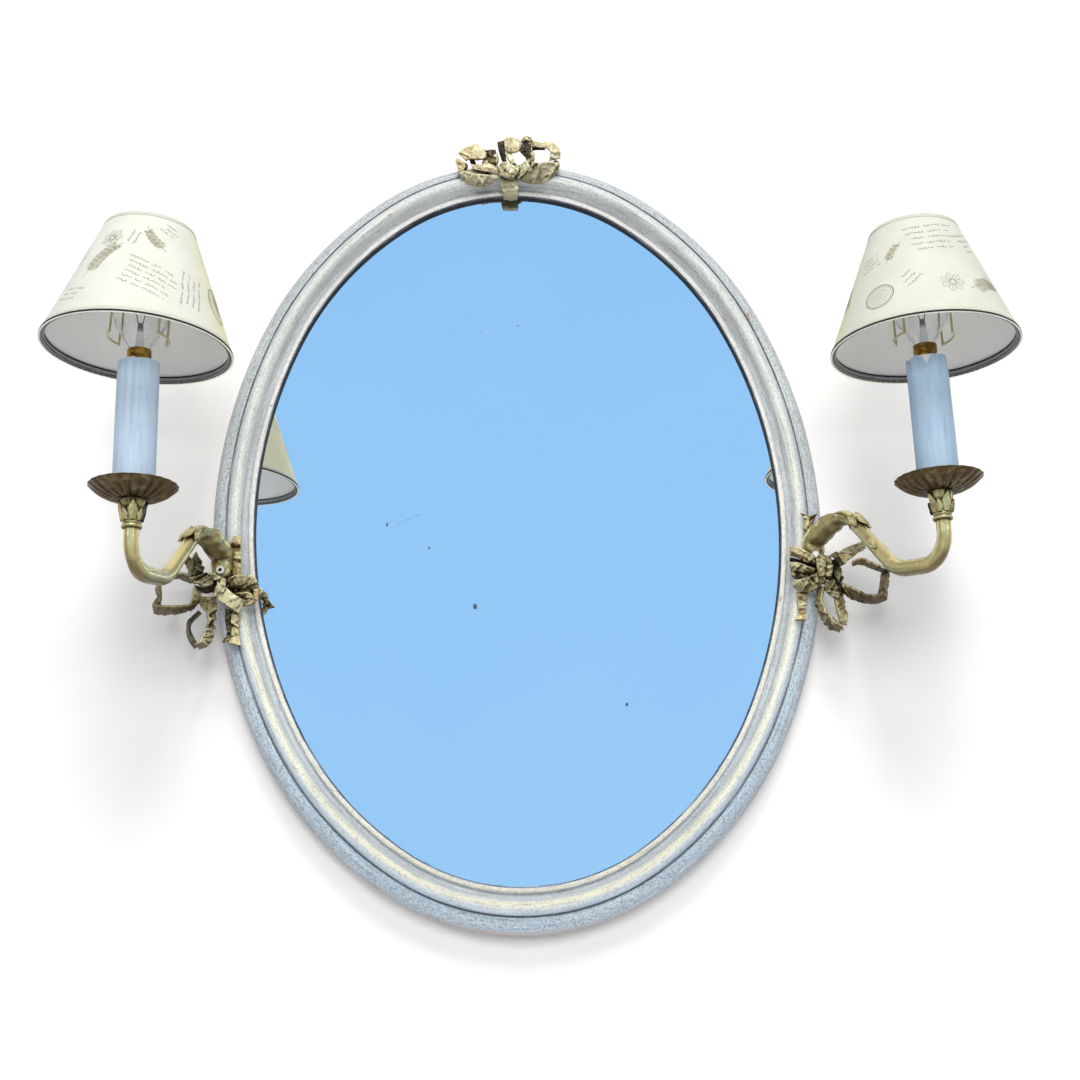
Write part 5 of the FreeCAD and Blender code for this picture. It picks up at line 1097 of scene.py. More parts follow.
RIGHT_BANDS = [
    (0.05, 0.4, 0.6, 0.7, [(198.2, -4.1, -41.5), (201.6, -8.5, -38.0), (200.7, -15.5, -39.5), (201.4, -20.8, -37.6), (199.9, -27.2, -39.0), (201.9, -33.5, -38.0)],
     [(205.4, -6.4, -39.5), (205.3, -9.9, -38.6), (204.2, -15.7, -40.0), (204.9, -21.0, -38.0), (204.2, -27.4, -39.4), (204.8, -33.7, -38.4)]),
    (0.4, 0.1, 0.4, 0.6, [(204.8, -6.4, -39.5), (204.9, -9.9, -38.6), (203.8, -15.7, -40.0), (204.5, -21.0, -38.0), (203.8, -27.4, -39.4), (204.4, -33.7, -38.4)],
     [(210.9, -5.2, -41.5), (208.8, -9.4, -38.0), (207.9, -15.4, -38.4), (208.1, -20.8, -37.0), (207.4, -27.1, -38.0), (207.2, -33.6, -37.6)]),
    (0.1, 0.6, 1.1, 0.7, [(188.8, -28.9, -43.0), (194.3, -30.6, -46.0), (198.6, -33.3, -47.5), (203.7, -37.2, -47.5), (207.0, -41.9, -46.0)],
     [(189.1, -35.0, -40.5), (193.6, -36.9, -42.0), (198.5, -40.5, -43.0), (203.1, -42.3, -43.5), (207.0, -43.5, -44.0)]),
    (1, 0, 0.2, 0.3, [(189.1, -36.5, -41.0), (194.6, -37.8, -41.0), (200.9, -41.6, -41.0)],
     [(188.9, -40.0, -40.5), (194.5, -40.7, -40.5), (201.0, -43.4, -40.5)]),
    (0.25, 0.1, 0.8, 0.7, [(188.1, -40.2, -43.0), (193.6, -41.3, -45.0), (200.6, -44.4, -46.0), (207.4, -46.8, -46.5)],
     [(188.5, -44.9, -41.0), (193.7, -47.0, -42.0), (200.0, -48.7, -42.5), (206.7, -50.4, -44.0)]),
    (0.95, 0, 0.2, 0.3, [(192.0, -47.1, -41.0), (197.6, -48.2, -41.0), (204.0, -49.2, -41.0)],
     [(192.2, -51.4, -40.5), (197.8, -51.0, -40.5), (204.0, -50.6, -40.5)]),
    (0.28, 0, 1, 1.1, [(189.6, -53.0, -42.0), (195.5, -52.8, -45.0), (201.9, -51.1, -47.5), (208.2, -48.8, -49.0), (215.3, -49.1, -48.0)],
     [(190.6, -59.1, -41.0), (196.5, -62.2, -43.0), (202.4, -61.9, -45.0), (209.1, -57.4, -46.0), (216.2, -51.9, -46.0)]),
    (0.15, 0.5, 0.5, 0.8, [(192.4, -61.2, -38.5), (192.5, -69.1, -39.5), (192.4, -75.3, -37.8), (188.8, -80.6, -42.0)],
     [(200.0, -61.1, -38.5), (198.6, -69.2, -39.5), (197.7, -75.5, -38.0), (197.0, -80.9, -41.5)]),
    (0.3, 0, 1.2, 1, [(206.0, -37.3, -46.0), (205.5, -45.4, -49.5), (206.4, -52.6, -48.5)],
     [(213.1, -36.9, -46.0), (211.8, -45.7, -50.0), (210.7, -52.8, -49.0)]),
    (0.1, 0.1, 1, 1, [(212.7, -37.4, -45.0), (211.9, -45.6, -49.5), (210.7, -52.8, -49.0)],
     [(216.8, -37.7, -45.0), (216.9, -45.5, -48.5), (215.6, -52.3, -48.0)]),
    (0.6, 0, 0.7, 1.1, [(215.2, -40.9, -45.0), (217.6, -49.9, -47.0), (219.1, -56.9, -47.0), (220.6, -65.8, -45.0)],
     [(220.8, -39.0, -43.0), (223.7, -46.4, -44.0), (223.6, -55.0, -44.0), (223.8, -61.6, -43.0)]),
    (0.3, 0.1, 0.6, 0.7, [(210.2, -59.3, -46.0), (207.9, -67.4, -47.0), (208.7, -74.3, -47.5), (212.2, -80.3, -48.0), (216.4, -84.7, -48.0), (219.9, -87.0, -47.0)],
     [(207.2, -56.6, -39.0), (205.6, -65.3, -38.0), (206.1, -73.9, -37.5), (209.6, -82.4, -37.0), (214.9, -88.2, -37.0), (220.3, -90.0, -38.0)]),
    (0.35, 0.2, 0.6, 0.8, [(217.3, -67.4, -46.0), (217.6, -74.1, -46.5), (218.8, -80.1, -47.0), (220.1, -86.5, -47.0)],
     [(224.3, -60.5, -40.0), (225.3, -69.6, -38.0), (226.6, -77.1, -37.5), (226.2, -85.0, -37.5)]),
    (0.05, 0.3, 0.6, 0.5, [(211.9, -80.7, -49.0), (216.0, -85.6, -49.5), (220.4, -87.8, -48.0)],
     [(211.4, -83.2, -46.0), (216.0, -88.0, -46.0), (221.5, -90.2, -45.0)]),
    (0.45, 0, 0.8, 1.2, [(210.4, -56.6, -46.0), (211.0, -63.2, -48.0), (216.2, -67.8, -47.0)],
     [(217.5, -53.8, -46.0), (219.7, -60.2, -47.0), (220.3, -67.5, -46.0)]),
    (0.3, 0.3, 0.6, 0.7, [(221.0, -36.2, -49.0), (227.7, -32.4, -50.0), (233.7, -30.2, -49.0), (240.1, -27.2, -46.0)],
     [(225.1, -43.1, -46.0), (231.6, -39.0, -47.0), (236.4, -35.4, -46.0), (242.0, -32.1, -43.0)]),
    (0.15, 0.4, 0.5, 0.8, [(220.4, -36.9, -50.5), (222.2, -40.3, -51.0), (224.0, -44.1, -50.0)],
     [(227.6, -32.7, -50.5), (229.2, -36.3, -51.0), (231.2, -39.6, -50.0)]),
    (0, 0.9, 0.5, 0.6, [(232.4, -44.0, -41.0), (239.5, -42.7, -39.0), (247.0, -45.5, -38.0), (253.4, -48.5, -37.5), (256.2, -50.9, -37.5)],
     [(231.5, -42.2, -46.0), (238.2, -40.2, -46.0), (245.4, -43.3, -46.0), (252.5, -46.4, -46.0), (257.1, -49.2, -46.0)]),
    (0.7, 0.4, 0.3, 0.5, [(251.0, -51.2, -46.5), (249.7, -58.1, -47.0), (247.5, -65.4, -47.5)],
     [(258.9, -47.7, -38.5), (257.5, -56.2, -38.0), (255.1, -66.9, -37.5)]),
    (0.3, 0.7, 0.8, 0.8, [(222.4, -57.2, -46.0), (228.8, -60.4, -47.0), (234.7, -64.4, -48.0)],
     [(224.1, -63.0, -41.0), (229.1, -66.3, -39.0), (235.6, -69.1, -38.0)]),
    (0.75, 0.4, 0.7, 0.6, [(234.2, -64.0, -48.0), (240.7, -67.2, -49.0), (246.7, -66.7, -48.5), (249.7, -63.0, -47.5)],
     [(234.9, -69.0, -38.5), (245.0, -70.5, -37.0), (254.6, -67.7, -37.0), (256.2, -64.6, -37.5)]),
    (0.5, 0, 0.6, 1, [(215.9, -37.2, -47.0), (219.1, -40.6, -48.0), (222.6, -45.4, -47.0)],
     [(220.5, -34.7, -48.0), (223.5, -39.1, -49.0), (226.3, -43.5, -48.0)]),
]
CREST_BANDS = [
    (0.1, 0.2, 1.2, 0.8, [(-38.4, 271.0, -40.0), (-31.1, 268.2, -41.0), (-23.4, 265.7, -41.5), (-14.3, 265.0, -41.5), (-7.1, 263.9, -42.0)],
     [(-36.7, 267.7, -38.0), (-33.1, 260.7, -38.5), (-25.9, 256.8, -39.0), (-17.1, 256.1, -39.5), (-8.7, 261.3, -40.5)]),
    (0.05, 0.4, 0.8, 0.6, [(-28.1, 273.9, -42.0), (-21.9, 272.6, -43.0), (-14.1, 273.1, -43.5), (-8.0, 268.6, -43.0)],
     [(-26.4, 269.3, -42.0), (-19.4, 267.4, -42.5), (-12.2, 266.1, -42.5), (-7.0, 264.5, -42.5)]),
    (1, 0, 0.2, 0.3, [(-30.2, 282.6, -38.5), (-28.2, 275.9, -38.5), (-26.0, 270.7, -38.5)],
     [(-25.5, 281.7, -38.5), (-24.3, 275.8, -38.5), (-20.8, 269.4, -38.5)]),
    (0.08, 0.6, 0.9, 0.8, [(-37.6, 284.3, -40.0), (-32.1, 287.9, -41.5), (-25.2, 290.4, -42.0), (-20.3, 288.3, -42.0), (-17.3, 285.0, -41.0)],
     [(-32.0, 277.2, -41.0), (-28.1, 278.0, -42.0), (-23.1, 277.0, -42.5), (-17.9, 277.8, -42.5), (-16.1, 280.6, -41.0)]),
    (0.12, 0.5, 0.5, 0.6, [(-39.1, 281.7, -38.0), (-39.9, 277.3, -38.0), (-37.9, 272.4, -38.5)],
     [(-33.8, 276.7, -41.0), (-32.1, 273.7, -41.0), (-34.0, 269.7, -40.5)]),
    (0.75, 0.2, 0.5, 1, [(-17.8, 286.2, -39.5), (-16.6, 280.0, -40.0), (-13.9, 274.2, -41.0)],
     [(-9.2, 286.8, -39.5), (-9.0, 281.3, -40.0), (-9.4, 274.9, -41.0)]),
    (0.85, 0.1, 0.4, 0.7, [(-8.0, 292.6, -40.0), (-7.4, 286.8, -40.5), (-5.7, 279.2, -41.0), (-3.5, 271.9, -42.0)],
     [(-1.7, 294.0, -41.0), (-1.8, 287.8, -41.0), (-2.0, 280.9, -41.5), (-0.9, 273.9, -42.0)]),
    (0.15, 0.4, 0.9, 0.8, [(-2.7, 294.0, -42.0), (1.0, 295.1, -43.0), (6.1, 294.1, -43.0), (10.5, 291.3, -42.0)],
     [(-2.2, 284.6, -42.0), (1.7, 281.9, -43.0), (6.9, 282.7, -43.0), (9.9, 286.7, -42.0)]),
    (0.1, 0.2, 0.6, 0.7, [(-2.7, 283.2, -42.0), (-1.0, 278.0, -43.0), (2.2, 272.1, -44.0)],
     [(3.0, 282.8, -42.0), (3.7, 277.8, -43.0), (6.1, 272.3, -43.5)]),
    (0.8, 0.1, 0.5, 1.2, [(10.0, 293.4, -41.0), (12.0, 288.1, -42.0), (9.0, 284.4, -41.0), (14.3, 277.6, -41.0)],
     [(17.9, 295.6, -41.0), (18.0, 288.3, -42.0), (16.8, 283.6, -41.5), (18.0, 277.8, -41.0)]),
    (0.3, 0.2, 0.6, 1, [(11.4, 295.7, -42.0), (13.8, 296.2, -42.5), (17.6, 294.4, -42.0)],
     [(10.2, 291.1, -42.0), (13.7, 291.9, -42.5), (17.0, 290.6, -42.0)]),
    (0.12, 0.6, 0.8, 0.7, [(17.4, 293.8, -40.5), (25.4, 291.0, -41.5), (33.5, 290.8, -41.5), (38.6, 285.8, -40.5), (39.4, 278.4, -39.5)],
     [(18.5, 287.7, -41.0), (25.2, 286.6, -42.0), (29.6, 285.4, -42.5), (31.9, 281.8, -42.0), (30.7, 276.1, -41.0)]),
    (0.95, 0, 0.2, 0.4, [(18.0, 288.8, -40.0), (22.7, 289.0, -40.0), (27.7, 288.0, -40.0)],
     [(18.4, 285.6, -40.0), (22.6, 286.1, -40.0), (27.9, 285.7, -40.0)]),
    (0.22, 0, 1.1, 1.2, [(15.1, 277.0, -42.0), (22.2, 273.1, -43.0), (29.0, 274.1, -43.0), (34.5, 273.9, -42.0), (38.9, 273.0, -40.5)],
     [(6.6, 260.7, -40.5), (14.0, 257.9, -40.0), (22.1, 257.4, -39.5), (30.0, 260.7, -39.0), (37.0, 268.0, -38.6)]),
    (0.1, 0.2, 1.2, 1.3, [(-7.9, 271.8, -43.0), (-2.4, 273.4, -45.5), (3.0, 270.1, -46.0), (6.8, 268.3, -44.0)],
     [(-6.8, 263.4, -43.0), (-1.4, 259.8, -45.0), (4.0, 260.3, -45.5), (7.2, 265.4, -44.0)]),
    (0.6, 0.2, 0.6, 0.8, [(-3.6, 265.0, -46.6), (0.2, 262.6, -47.2), (4.1, 264.8, -46.6)],
     [(-3.0, 260.7, -45.6), (0.4, 259.0, -46.0), (4.5, 261.1, -45.6)]),
    (0.1, 0.1, 0.5, 0.5, [(-6.3, 265.3, -39.5), (-6.0, 257.5, -39.0), (-4.8, 250.8, -37.0), (-4.2, 248.4, -33.0)],
     [(5.9, 264.7, -39.5), (7.0, 257.2, -39.0), (6.6, 250.5, -37.0), (6.0, 248.1, -33.0)]),
    (0.1, 0.1, 1, 1, [(6.0, 268.0, -42.5), (9.2, 272.2, -42.5), (15.1, 277.0, -42.0)],
     [(6.6, 260.2, -41.5), (10.5, 263.5, -42.0), (16.4, 269.4, -42.0)]),
]


def band(B, tone, warm, dome, fold, ea, eb, seed, t=1.7, per=8, cols=15, mat=0):
    """One length of cast ribbon between two edges, domed, creased and beaded along its rims."""
    a = catmull([(x, y, z) for x, z, y in ea], per * max(2, len(eb) - 1))
    b = catmull([(x, y, z) for x, z, y in eb], per * max(2, len(ea) - 1))
    n = max(per * (max(len(ea), len(eb)) - 1), 14) * 2

    def even(P):
        d = np.concatenate([[0], np.cumsum(np.linalg.norm(np.diff(P, axis=0), axis=1))])
        q = np.linspace(0, d[-1], n)
        return np.stack([np.interp(q, d, P[:, k]) for k in range(3)], 1), d[-1]
    a, la = even(a)
    b, lb = even(b)
    mid = (a + b) / 2
    T = np.gradient(mid, axis=0)
    T /= np.maximum(1e-9, np.linalg.norm(T, axis=1))[:, None]
    rng = random.Random(seed)
    run = (la + lb) / 2
    folds = [(rng.uniform(0, run), rng.uniform(0.9, 2.0), rng.uniform(-0.9, 0.9), rng.choice((-1, 1, 1))) for _ in range(max(2, int(run / 5)))]
    top, bot = [], []
    for i in range(n):
        w = b[i] - a[i]
        wl = np.linalg.norm(w)
        w = w / max(1e-9, wl)
        N = np.cross(T[i], w)
        N /= max(1e-9, np.linalg.norm(N))
        if N[1] > 0 or (abs(N[1]) < 0.15 and N[2] < 0):
            N = -N
        s0 = run * i / (n - 1)
        for j in range(cols):
            u = j / (cols - 1)
            p = a[i] + (b[i] - a[i]) * u
            h = dome * math.sin(math.pi * u)
            h += 0.38 * (math.exp(-((u - 0.07) / 0.06) ** 2) + math.exp(-((u - 0.93) / 0.06) ** 2))
            for c0, ww, sl, sg in folds:
                x = (s0 + sl * (u - 0.5) * wl - c0) / ww
                h += sg * fold * 0.85 * (math.exp(-x * x) - 0.6 * math.exp(-((x - 1.5) ** 2) * 1.6))
            q = noise.noise(Vector((p[0] * 0.30 + seed, p[1] * 0.30, p[2] * 0.30)))
            q2 = noise.noise(Vector((p[0] * 0.9, p[1] * 0.9 + seed, p[2] * 0.9)))
            h += fold * (0.8 * (1 - min(1.0, abs(q) * 2.2)) ** 1.5 - 0.3) + 0.10 * q2
            thin = t * (0.45 + 0.55 * math.sin(math.pi * min(1.0, max(0.0, u * 0.94 + 0.03))) ** 0.4)
            top.append(p + N * h)
            bot.append(p + N * (h * 0.55 - thin))
    nt = len(top)
    F = []
    for i in range(n - 1):
        for j in range(cols - 1):
            q0, q1, q2_, q3 = i * cols + j, i * cols + j + 1, (i + 1) * cols + j + 1, (i + 1) * cols + j
            F.append((q0, q1, q2_, q3))
            F.append((nt + q0, nt + q3, nt + q2_, nt + q1))
        q0, q3 = i * cols, (i + 1) * cols
        F.append((q0, q3, nt + q3, nt + q0))
        q0, q3 = q0 + cols - 1, q3 + cols - 1
        F.append((q0, nt + q0, nt + q3, q3))
    for j in range(cols - 1):
        F.append((j, nt + j, nt + j + 1, j + 1))
        q0 = (n - 1) * cols + j
        F.append((q0, q0 + 1, nt + q0 + 1, nt + q0))
    B.add(top + bot, F, mat, tone=float(tone), warm=float(warm))


EYE = np.array([-5.11, -1032.71, -287.61])


def laid_back(p, y_new):
    """Point of the same sight line that lies nearer to the wall."""
    x, z, y = p
    if y >= y_new:
        return p
    k = (y_new - EYE[1]) / (y - EYE[1])
    return (EYE[0] + (x - EYE[0]) * k, EYE[2] + (z - EYE[2]) * k, y_new)


def bands(rows, seed):
    B = Build()
    for k, (tone, warm, dome, fold, ea, eb) in enumerate(rows):
        band(B, tone, warm, dome, fold, ea, eb, seed + k * 3)
    return B


def make_left_bow():
    B = bands(LEFT_BANDS, 100)
    # body of the knot behind the crossing band, and its foot on the frame
    blob(B, (-203.4, -38.4, -47.6), (6.4, 6.4, 6.6), seed=3, pleat=5, turn=0.4, amp=0.25)
    blob(B, (-213.0, -38.2, -46.0), (5.4, 4.0, 4.2), seed=4, pleat=4, turn=0.9, amp=0.3)
    blob(B, (-190.0, -37.6, -50.0), (6.4, 3.6, 5.6), seed=5, amp=0.3)
    return B.done("left_bow_cast", ("brass",))


def make_right_bow():
    B = bands(RIGHT_BANDS, 200)
    blob(B, (211.4, -38.6, -47.4), (6.0, 6.6, 7.4), seed=9, pleat=5, turn=1.1, amp=0.25)
    blob(B, (219.4, -38.6, -50.0), (4.4, 4.0, 6.4), seed=10, amp=0.3)
    blob(B, (198.0, -37.8, -47.0), (8.0, 3.6, 6.4), seed=11, amp=0.3)
    return B.done("right_bow_cast", ("brass",))


def make_crest():
    rows = list(CREST_BANDS)
    for i, depth in ((0, (-37.5, -35.0, -34.0, -34.5, -39.0)), (13, (-38.5, -35.0, -34.0, -35.0, -37.5))):
        tone, warm, dome, fold, ea, eb = rows[i]
        rows[i] = (tone, warm, dome, fold, ea, [laid_back(q, yy) for q, yy in zip(eb, depth)])
    tone, warm, dome, fold, ea, eb = rows[16]
    low = (-39.5, -38.0, -34.5, -29.0)
    rows[16] = (tone, warm, dome, fold, [laid_back(q, yy) for q, yy in zip(ea, low)], [laid_back(q, yy) for q, yy in zip(eb, low)])
    B = bands(rows, 300)
    # links between the curls
    for (cx, cy, cz), rad, sd_ in (((-16.8, -38.6, 275.6), (3.2, 2.2, 5.0), 21), ((-9.6, -38.8, 279.0), (2.6, 2.2, 5.4), 22), ((9.4, -39.0, 289.2), (2.4, 2.0, 4.2), 23),
                                  ((16.6, -39.2, 280.6), (3.4, 2.2, 6.0), 24), ((-33.4, -37.6, 274.4), (3.0, 2.0, 3.4), 25), ((35.6, -37.4, 274.8), (3.2, 2.0, 3.2), 26)):
        blob(B, (cx, cy, cz), rad, seed=sd_, amp=0.28, n=16, m=10)
    blob(B, (0.6, -38.4, 268.6), (8.0, 5.6, 5.6), seed=5, pleat=4, turn=0.2, amp=0.2)
    blob(B, (-23.0, -36.6, 268.4), (11.0, 3.2, 4.4), seed=6, amp=0.3)
    blob(B, (23.0, -36.8, 270.4), (11.0, 3.2, 5.6), seed=7, amp=0.3)
    return B.done("crest_cast", ("crest",))


CASTS = []
for side in ("left", "right"):
    arm = make_arm(side)
    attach(arm, BODY)
    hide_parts(side + "_arm")
    cup = make_cup(side)
    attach(cup, BODY)
    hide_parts(side + "_socket_cup")
    pan = make_pan(side)
    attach(pan, BODY)
    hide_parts(side + "_drip_pan")
    CASTS += [arm, cup, pan]
for o, node_name in ((make_left_bow(), "left_bow"), (make_right_bow(), "right_bow"), (make_crest(), "crest_bow")):
    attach(o, BODY)
    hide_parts(node_name)
    CASTS.append(o)


# ------------------------------------------------------------------ screws: white head with a slot
def make_screw(side):
    B = Build()
    x, z, y = SGN[side] * 206.5, -36.0, -44.0
    prof = [(0.0, -3.2), (0.9, -3.15), (1.7, -2.8), (2.5, -1.9), (2.95, -0.9), (3.0, -0.4), (2.4, 0.0), (1.2, 0.4), (1.2, 3.4), (0, 3.4)]
    if side == "left":
        prof = [(0.0, -1.0), (1.45, -1.0), (1.55, -2.7), (1.95, -3.15), (2.5, -2.6), (2.95, -1.2), (3.0, -0.4), (2.4, 0.0), (1.2, 0.4), (1.2, 3.4), (0, 3.4)]
    n = 40
    V, F = [], []
    k = len(prof)
    for i in range(n):
        t = 2 * math.pi * i / n
        for r, h in prof:
            V.append((x + r * math.cos(t), y + h, z + r * math.sin(t)))
    for i in range(n):
        for j in range(k - 1):
            F.append((i * k + j, i * k + j + 1, ((i + 1) % n) * k + j + 1, ((i + 1) % n) * k + j))
    if side == "left":
        # painted shade: a dark disc at the bottom of the countersunk hole
        B.add([(x + 1.5 * math.cos(2 * math.pi * i / 24), y - 1.06, z + 1.5 * math.sin(2 * math.pi * i / 24)) for i in range(24)], [tuple(range(24))], 1)
    B.add(V, F, 0)
    # slot: a shallow dark bar let into the dome, painted shade in place of a cut slot
    a = math.radians(38 if side == "left" else 20)
    c, s = math.cos(a), math.sin(a)
    pts = []
    for u, v in ((-2.5, -0.42), (2.5, -0.42), (2.5, 0.42), (-2.5, 0.42)):
        for dep in (-3.24, -1.4):
            drop = 0.0 if dep > -3 else 0.22 * (u / 2.5) ** 2 * 4.2
            pts.append((x + u * c - v * s, y + dep + drop, z + u * s + v * c))
    if side == "right":
        B.add(pts, [(0, 2, 4, 6), (1, 7, 5, 3), (0, 1, 3, 2), (2, 3, 5, 4), (4, 5, 7, 6), (6, 7, 1, 0)], 1)
    o = B.done(side + "_screw_head", ("whitep", "slotdark"))
    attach(o, BODY)
    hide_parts(side + "_arm_screw")
    return o


for side in ("left", "right"):
    make_screw(side)


# ------------------------------------------------------------------ candle sleeves
def make_sleeve(side):
    lx, ly, lz = LAMP[side]
    n, rows = 160, 34
    rng = random.Random(41 if side == "left" else 42)
    wave = [rng.random() for _ in range(40)]

    def top(t):
        """Height of the paper's upper edge round the sleeve."""
        a = (t / (2 * math.pi) * 40) % 40
        i = int(a)
        w = wave[i] * (1 - (a - i)) + wave[(i + 1) % 40] * (a - i)
        if side == "left":
            return 66.9 - 0.8 * w
        z = 66.9 - 1.6 * w
        front = math.atan2(math.sin(t + math.pi / 2), math.cos(t + math.pi / 2))   # 0 faces the room
        tear = math.exp(-((front + 0.30) / 0.20) ** 2) * 6.4 + math.exp(-((front + 0.62) / 0.10) ** 2) * 2.4
        tear += math.exp(-((front - 0.25) / 0.09) ** 2) * 2.2 + math.exp(-((front + 1.25) / 0.16) ** 2) * 5.0
        return z - tear
    V, F = [], []
    for i in range(n):
        t = 2 * math.pi * i / n
        zt = top(t)
        for ly_ in (0, 1):
            for j in range(rows):
                v = j / (rows - 1)
                z = -20.2 + (zt + 20.2) * (v if ly_ == 0 else 1 - v)
                r = 13.0 if ly_ == 0 else 12.0
                near = max(0.0, (z - (zt - 9.0)) / 9.0)
                if side == "right":
                    r += 0.0 if ly_ else -0.15 * near
                    r += 0.28 * near * math.sin(t * 9 + 1.3) * (0.5 if ly_ == 0 else 0.3) - (0.25 * near if ly_ == 0 else 0)
                r += 0.05 * noise.noise(Vector((math.cos(t) * 3, math.sin(t) * 3, z * 0.1)))
                r = min(r, 13.0)
                V.append((lx + r * math.cos(t), ly + r * math.sin(t), lz + z))
    k = 2 * rows
    for i in range(n):
        for j in range(k):
            a, b = i * k + j, i * k + (j + 1) % k
            c, d = ((i + 1) % n) * k + (j + 1) % k, ((i + 1) % n) * k + j
            F.append((a, d, c, b))
    B = Build()
    B.add(V, F, 0)
    o = B.done(side + "_sleeve_card", ("candle",))
    o.data.set_sharp_from_angle(angle=math.radians(50))
    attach(o, BODY)
    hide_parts(side + "_candle_sleeve")
    return o


for side in ("left", "right"):
    make_sleeve(side)


# ------------------------------------------------------------------ shades
R0, R1_, Z0, Z1 = 60.0, 28.5, 76.0, 158.0
SLOPE = (R0 - R1_) / (Z1 - Z0)


def cone_r(z):
    return R0 - SLOPE * (z - Z0)


def make_shade(side):
    lx, ly, lz = LAMP[side]
    lz -= SAG[side]
    body = side + "_shade_group"
    rows = 28
    outer = [(cone_r(Z0 + (Z1 - Z0) * j / rows), Z0 + (Z1 - Z0) * j / rows) for j in range(rows + 1)]
    inner = [(r - 0.7, z) for r, z in reversed(outer)]

    def mod(r, z, t, j):
        f = (z - Z0) / (Z1 - Z0)
        if 0.03 < f < 0.97:
            r += 0.10 * noise.noise(Vector((math.cos(t) * 1.6, math.sin(t) * 1.6, z * 0.03))) * math.sin(math.pi * f)
        return r, z
    V, F = lathe(outer + inner, 192, (lx, ly, lz), mod)
    B = Build()
    B.add(V, F, 0)
    # overlapped seam at the back
    a0 = math.radians(96)
    strip = []
    for j in range(rows + 1):
        z = Z0 + 3 + (Z1 - Z0 - 6) * j / rows
        for rr, aa in ((0.10, 0.0), (0.42, 0.006), (0.42, 0.10), (0.02, 0.105)):
            r = cone_r(z) + rr
            strip.append((lx + r * math.cos(a0 + aa), ly + r * math.sin(a0 + aa), lz + z))
    k = 4
    B.add(strip, [(j * k + q, j * k + q + 1, (j + 1) * k + q + 1, (j + 1) * k + q) for j in range(rows) for q in range(3)], 0)
    skin = B.done(side + "_shade_skin", ("paper",))
    skin.data.set_sharp_from_angle(angle=math.radians(50))
    leaned(side, skin)
    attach(skin, body)
    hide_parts(side + "_shade")

    # white lining
    o2 = [(cone_r(z) - 0.72, z) for _, z in outer]
    i2 = [(r - 0.4, z) for r, z in reversed(o2)]
    V, F = lathe(o2 + i2, 160, (lx, ly, lz))
    B = Build()
    B.add(V, F, 0)
    lining = B.done(side + "_lining_paper", ("lining",))
    lining.data.set_sharp_from_angle(angle=math.radians(50))
    leaned(side, lining)
    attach(lining, body)
    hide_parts(side + "_shade_lining")

    # edge tapes: ivory outside, dark cord on the rim, dark tape inside
    B = Build()

    def tape_band(z0, z1, out0, out1, mat, n=192, ripple=0.0):
        p = [(cone_r(z0) + out0, z0), (cone_r((z0 + z1) / 2) + out1, (z0 + z1) / 2), (cone_r(z1) + out0, z1), (cone_r(z1) + out0 - 0.3, z1),
             (cone_r(z0) + out0 - 0.3, z0)]

        def md(r, z, t, j):
            return r + ripple * math.sin(60 * t + j), z
        V_, F_ = lathe(p, n, (lx, ly, lz), md)
        B.add(V_, F_, mat)
    tape_band(Z0 + 1.5, Z0 + 4.4, 0.20, 0.34, 0)
    tape_band(Z1 - 2.8, Z1 - 0.9, 0.20, 0.32, 0)
    # rim cords
    for z, r, rad, mat, tall in ((Z0 + 0.95, cone_r(Z0 + 0.9) - 0.40, 0.74, 1, 1.3), (Z1 - 0.65, cone_r(Z1) - 0.36, 0.60, 3, 1.1),
                                 (Z0 + 4.1, cone_r(Z0 + 4.1) - 1.75, 0.42, 1, 1.0)):
        prof = [(r + rad * math.cos(q * math.pi / 5), z + rad * tall * math.sin(q * math.pi / 5)) for q in range(10)]
        V_, F_ = lathe(prof, 192, (lx, ly, lz), lambda r_, z_, t, j: (r_, z_ + 0.05 * math.sin(90 * t)))
        B.add(V_, F_, mat)
    # inside tape over the wire
    for z0, z1, off, mat in ((Z0 + 1.1, Z0 + 4.0, -1.16, 2),):
        rr0, rr1 = cone_r(z0) + off, cone_r(z1) + off
        mid_ = (z0 + z1) / 2
        p = [(rr0, z0), (cone_r(mid_) + off - 1.75, mid_ - 0.6), (cone_r(mid_) + off - 1.5, mid_ + 0.5), (rr1 - 0.25, z1), (rr1, z1)]
        V_, F_ = lathe(p, 160, (lx, ly, lz))
        B.add(V_, F_, mat)
    trim = B.done(side + "_shade_tape", ("tape", "rim", "tape_dark", "tape_line"))
    leaned(side, trim)
    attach(trim, body)
    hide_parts(side + "_shade_trim")

    # generic print: wavy pen lines in slanted blocks, sprigs, rosettes and an oval ring
    P = Build()
    rng = random.Random(77 if side == "left" else 91)
    cosb = 1 / math.sqrt(1 + SLOPE * SLOPE)

    def on_cone(ta, za, p, q, off=0.07):
        z = za + q * cosb
        z = max(Z0 + 4.6, min(Z1 - 3.2, z))
        r = cone_r(z) + off
        t = ta + p / r
        return (lx + r * math.cos(t), ly + r * math.sin(t), lz + z)

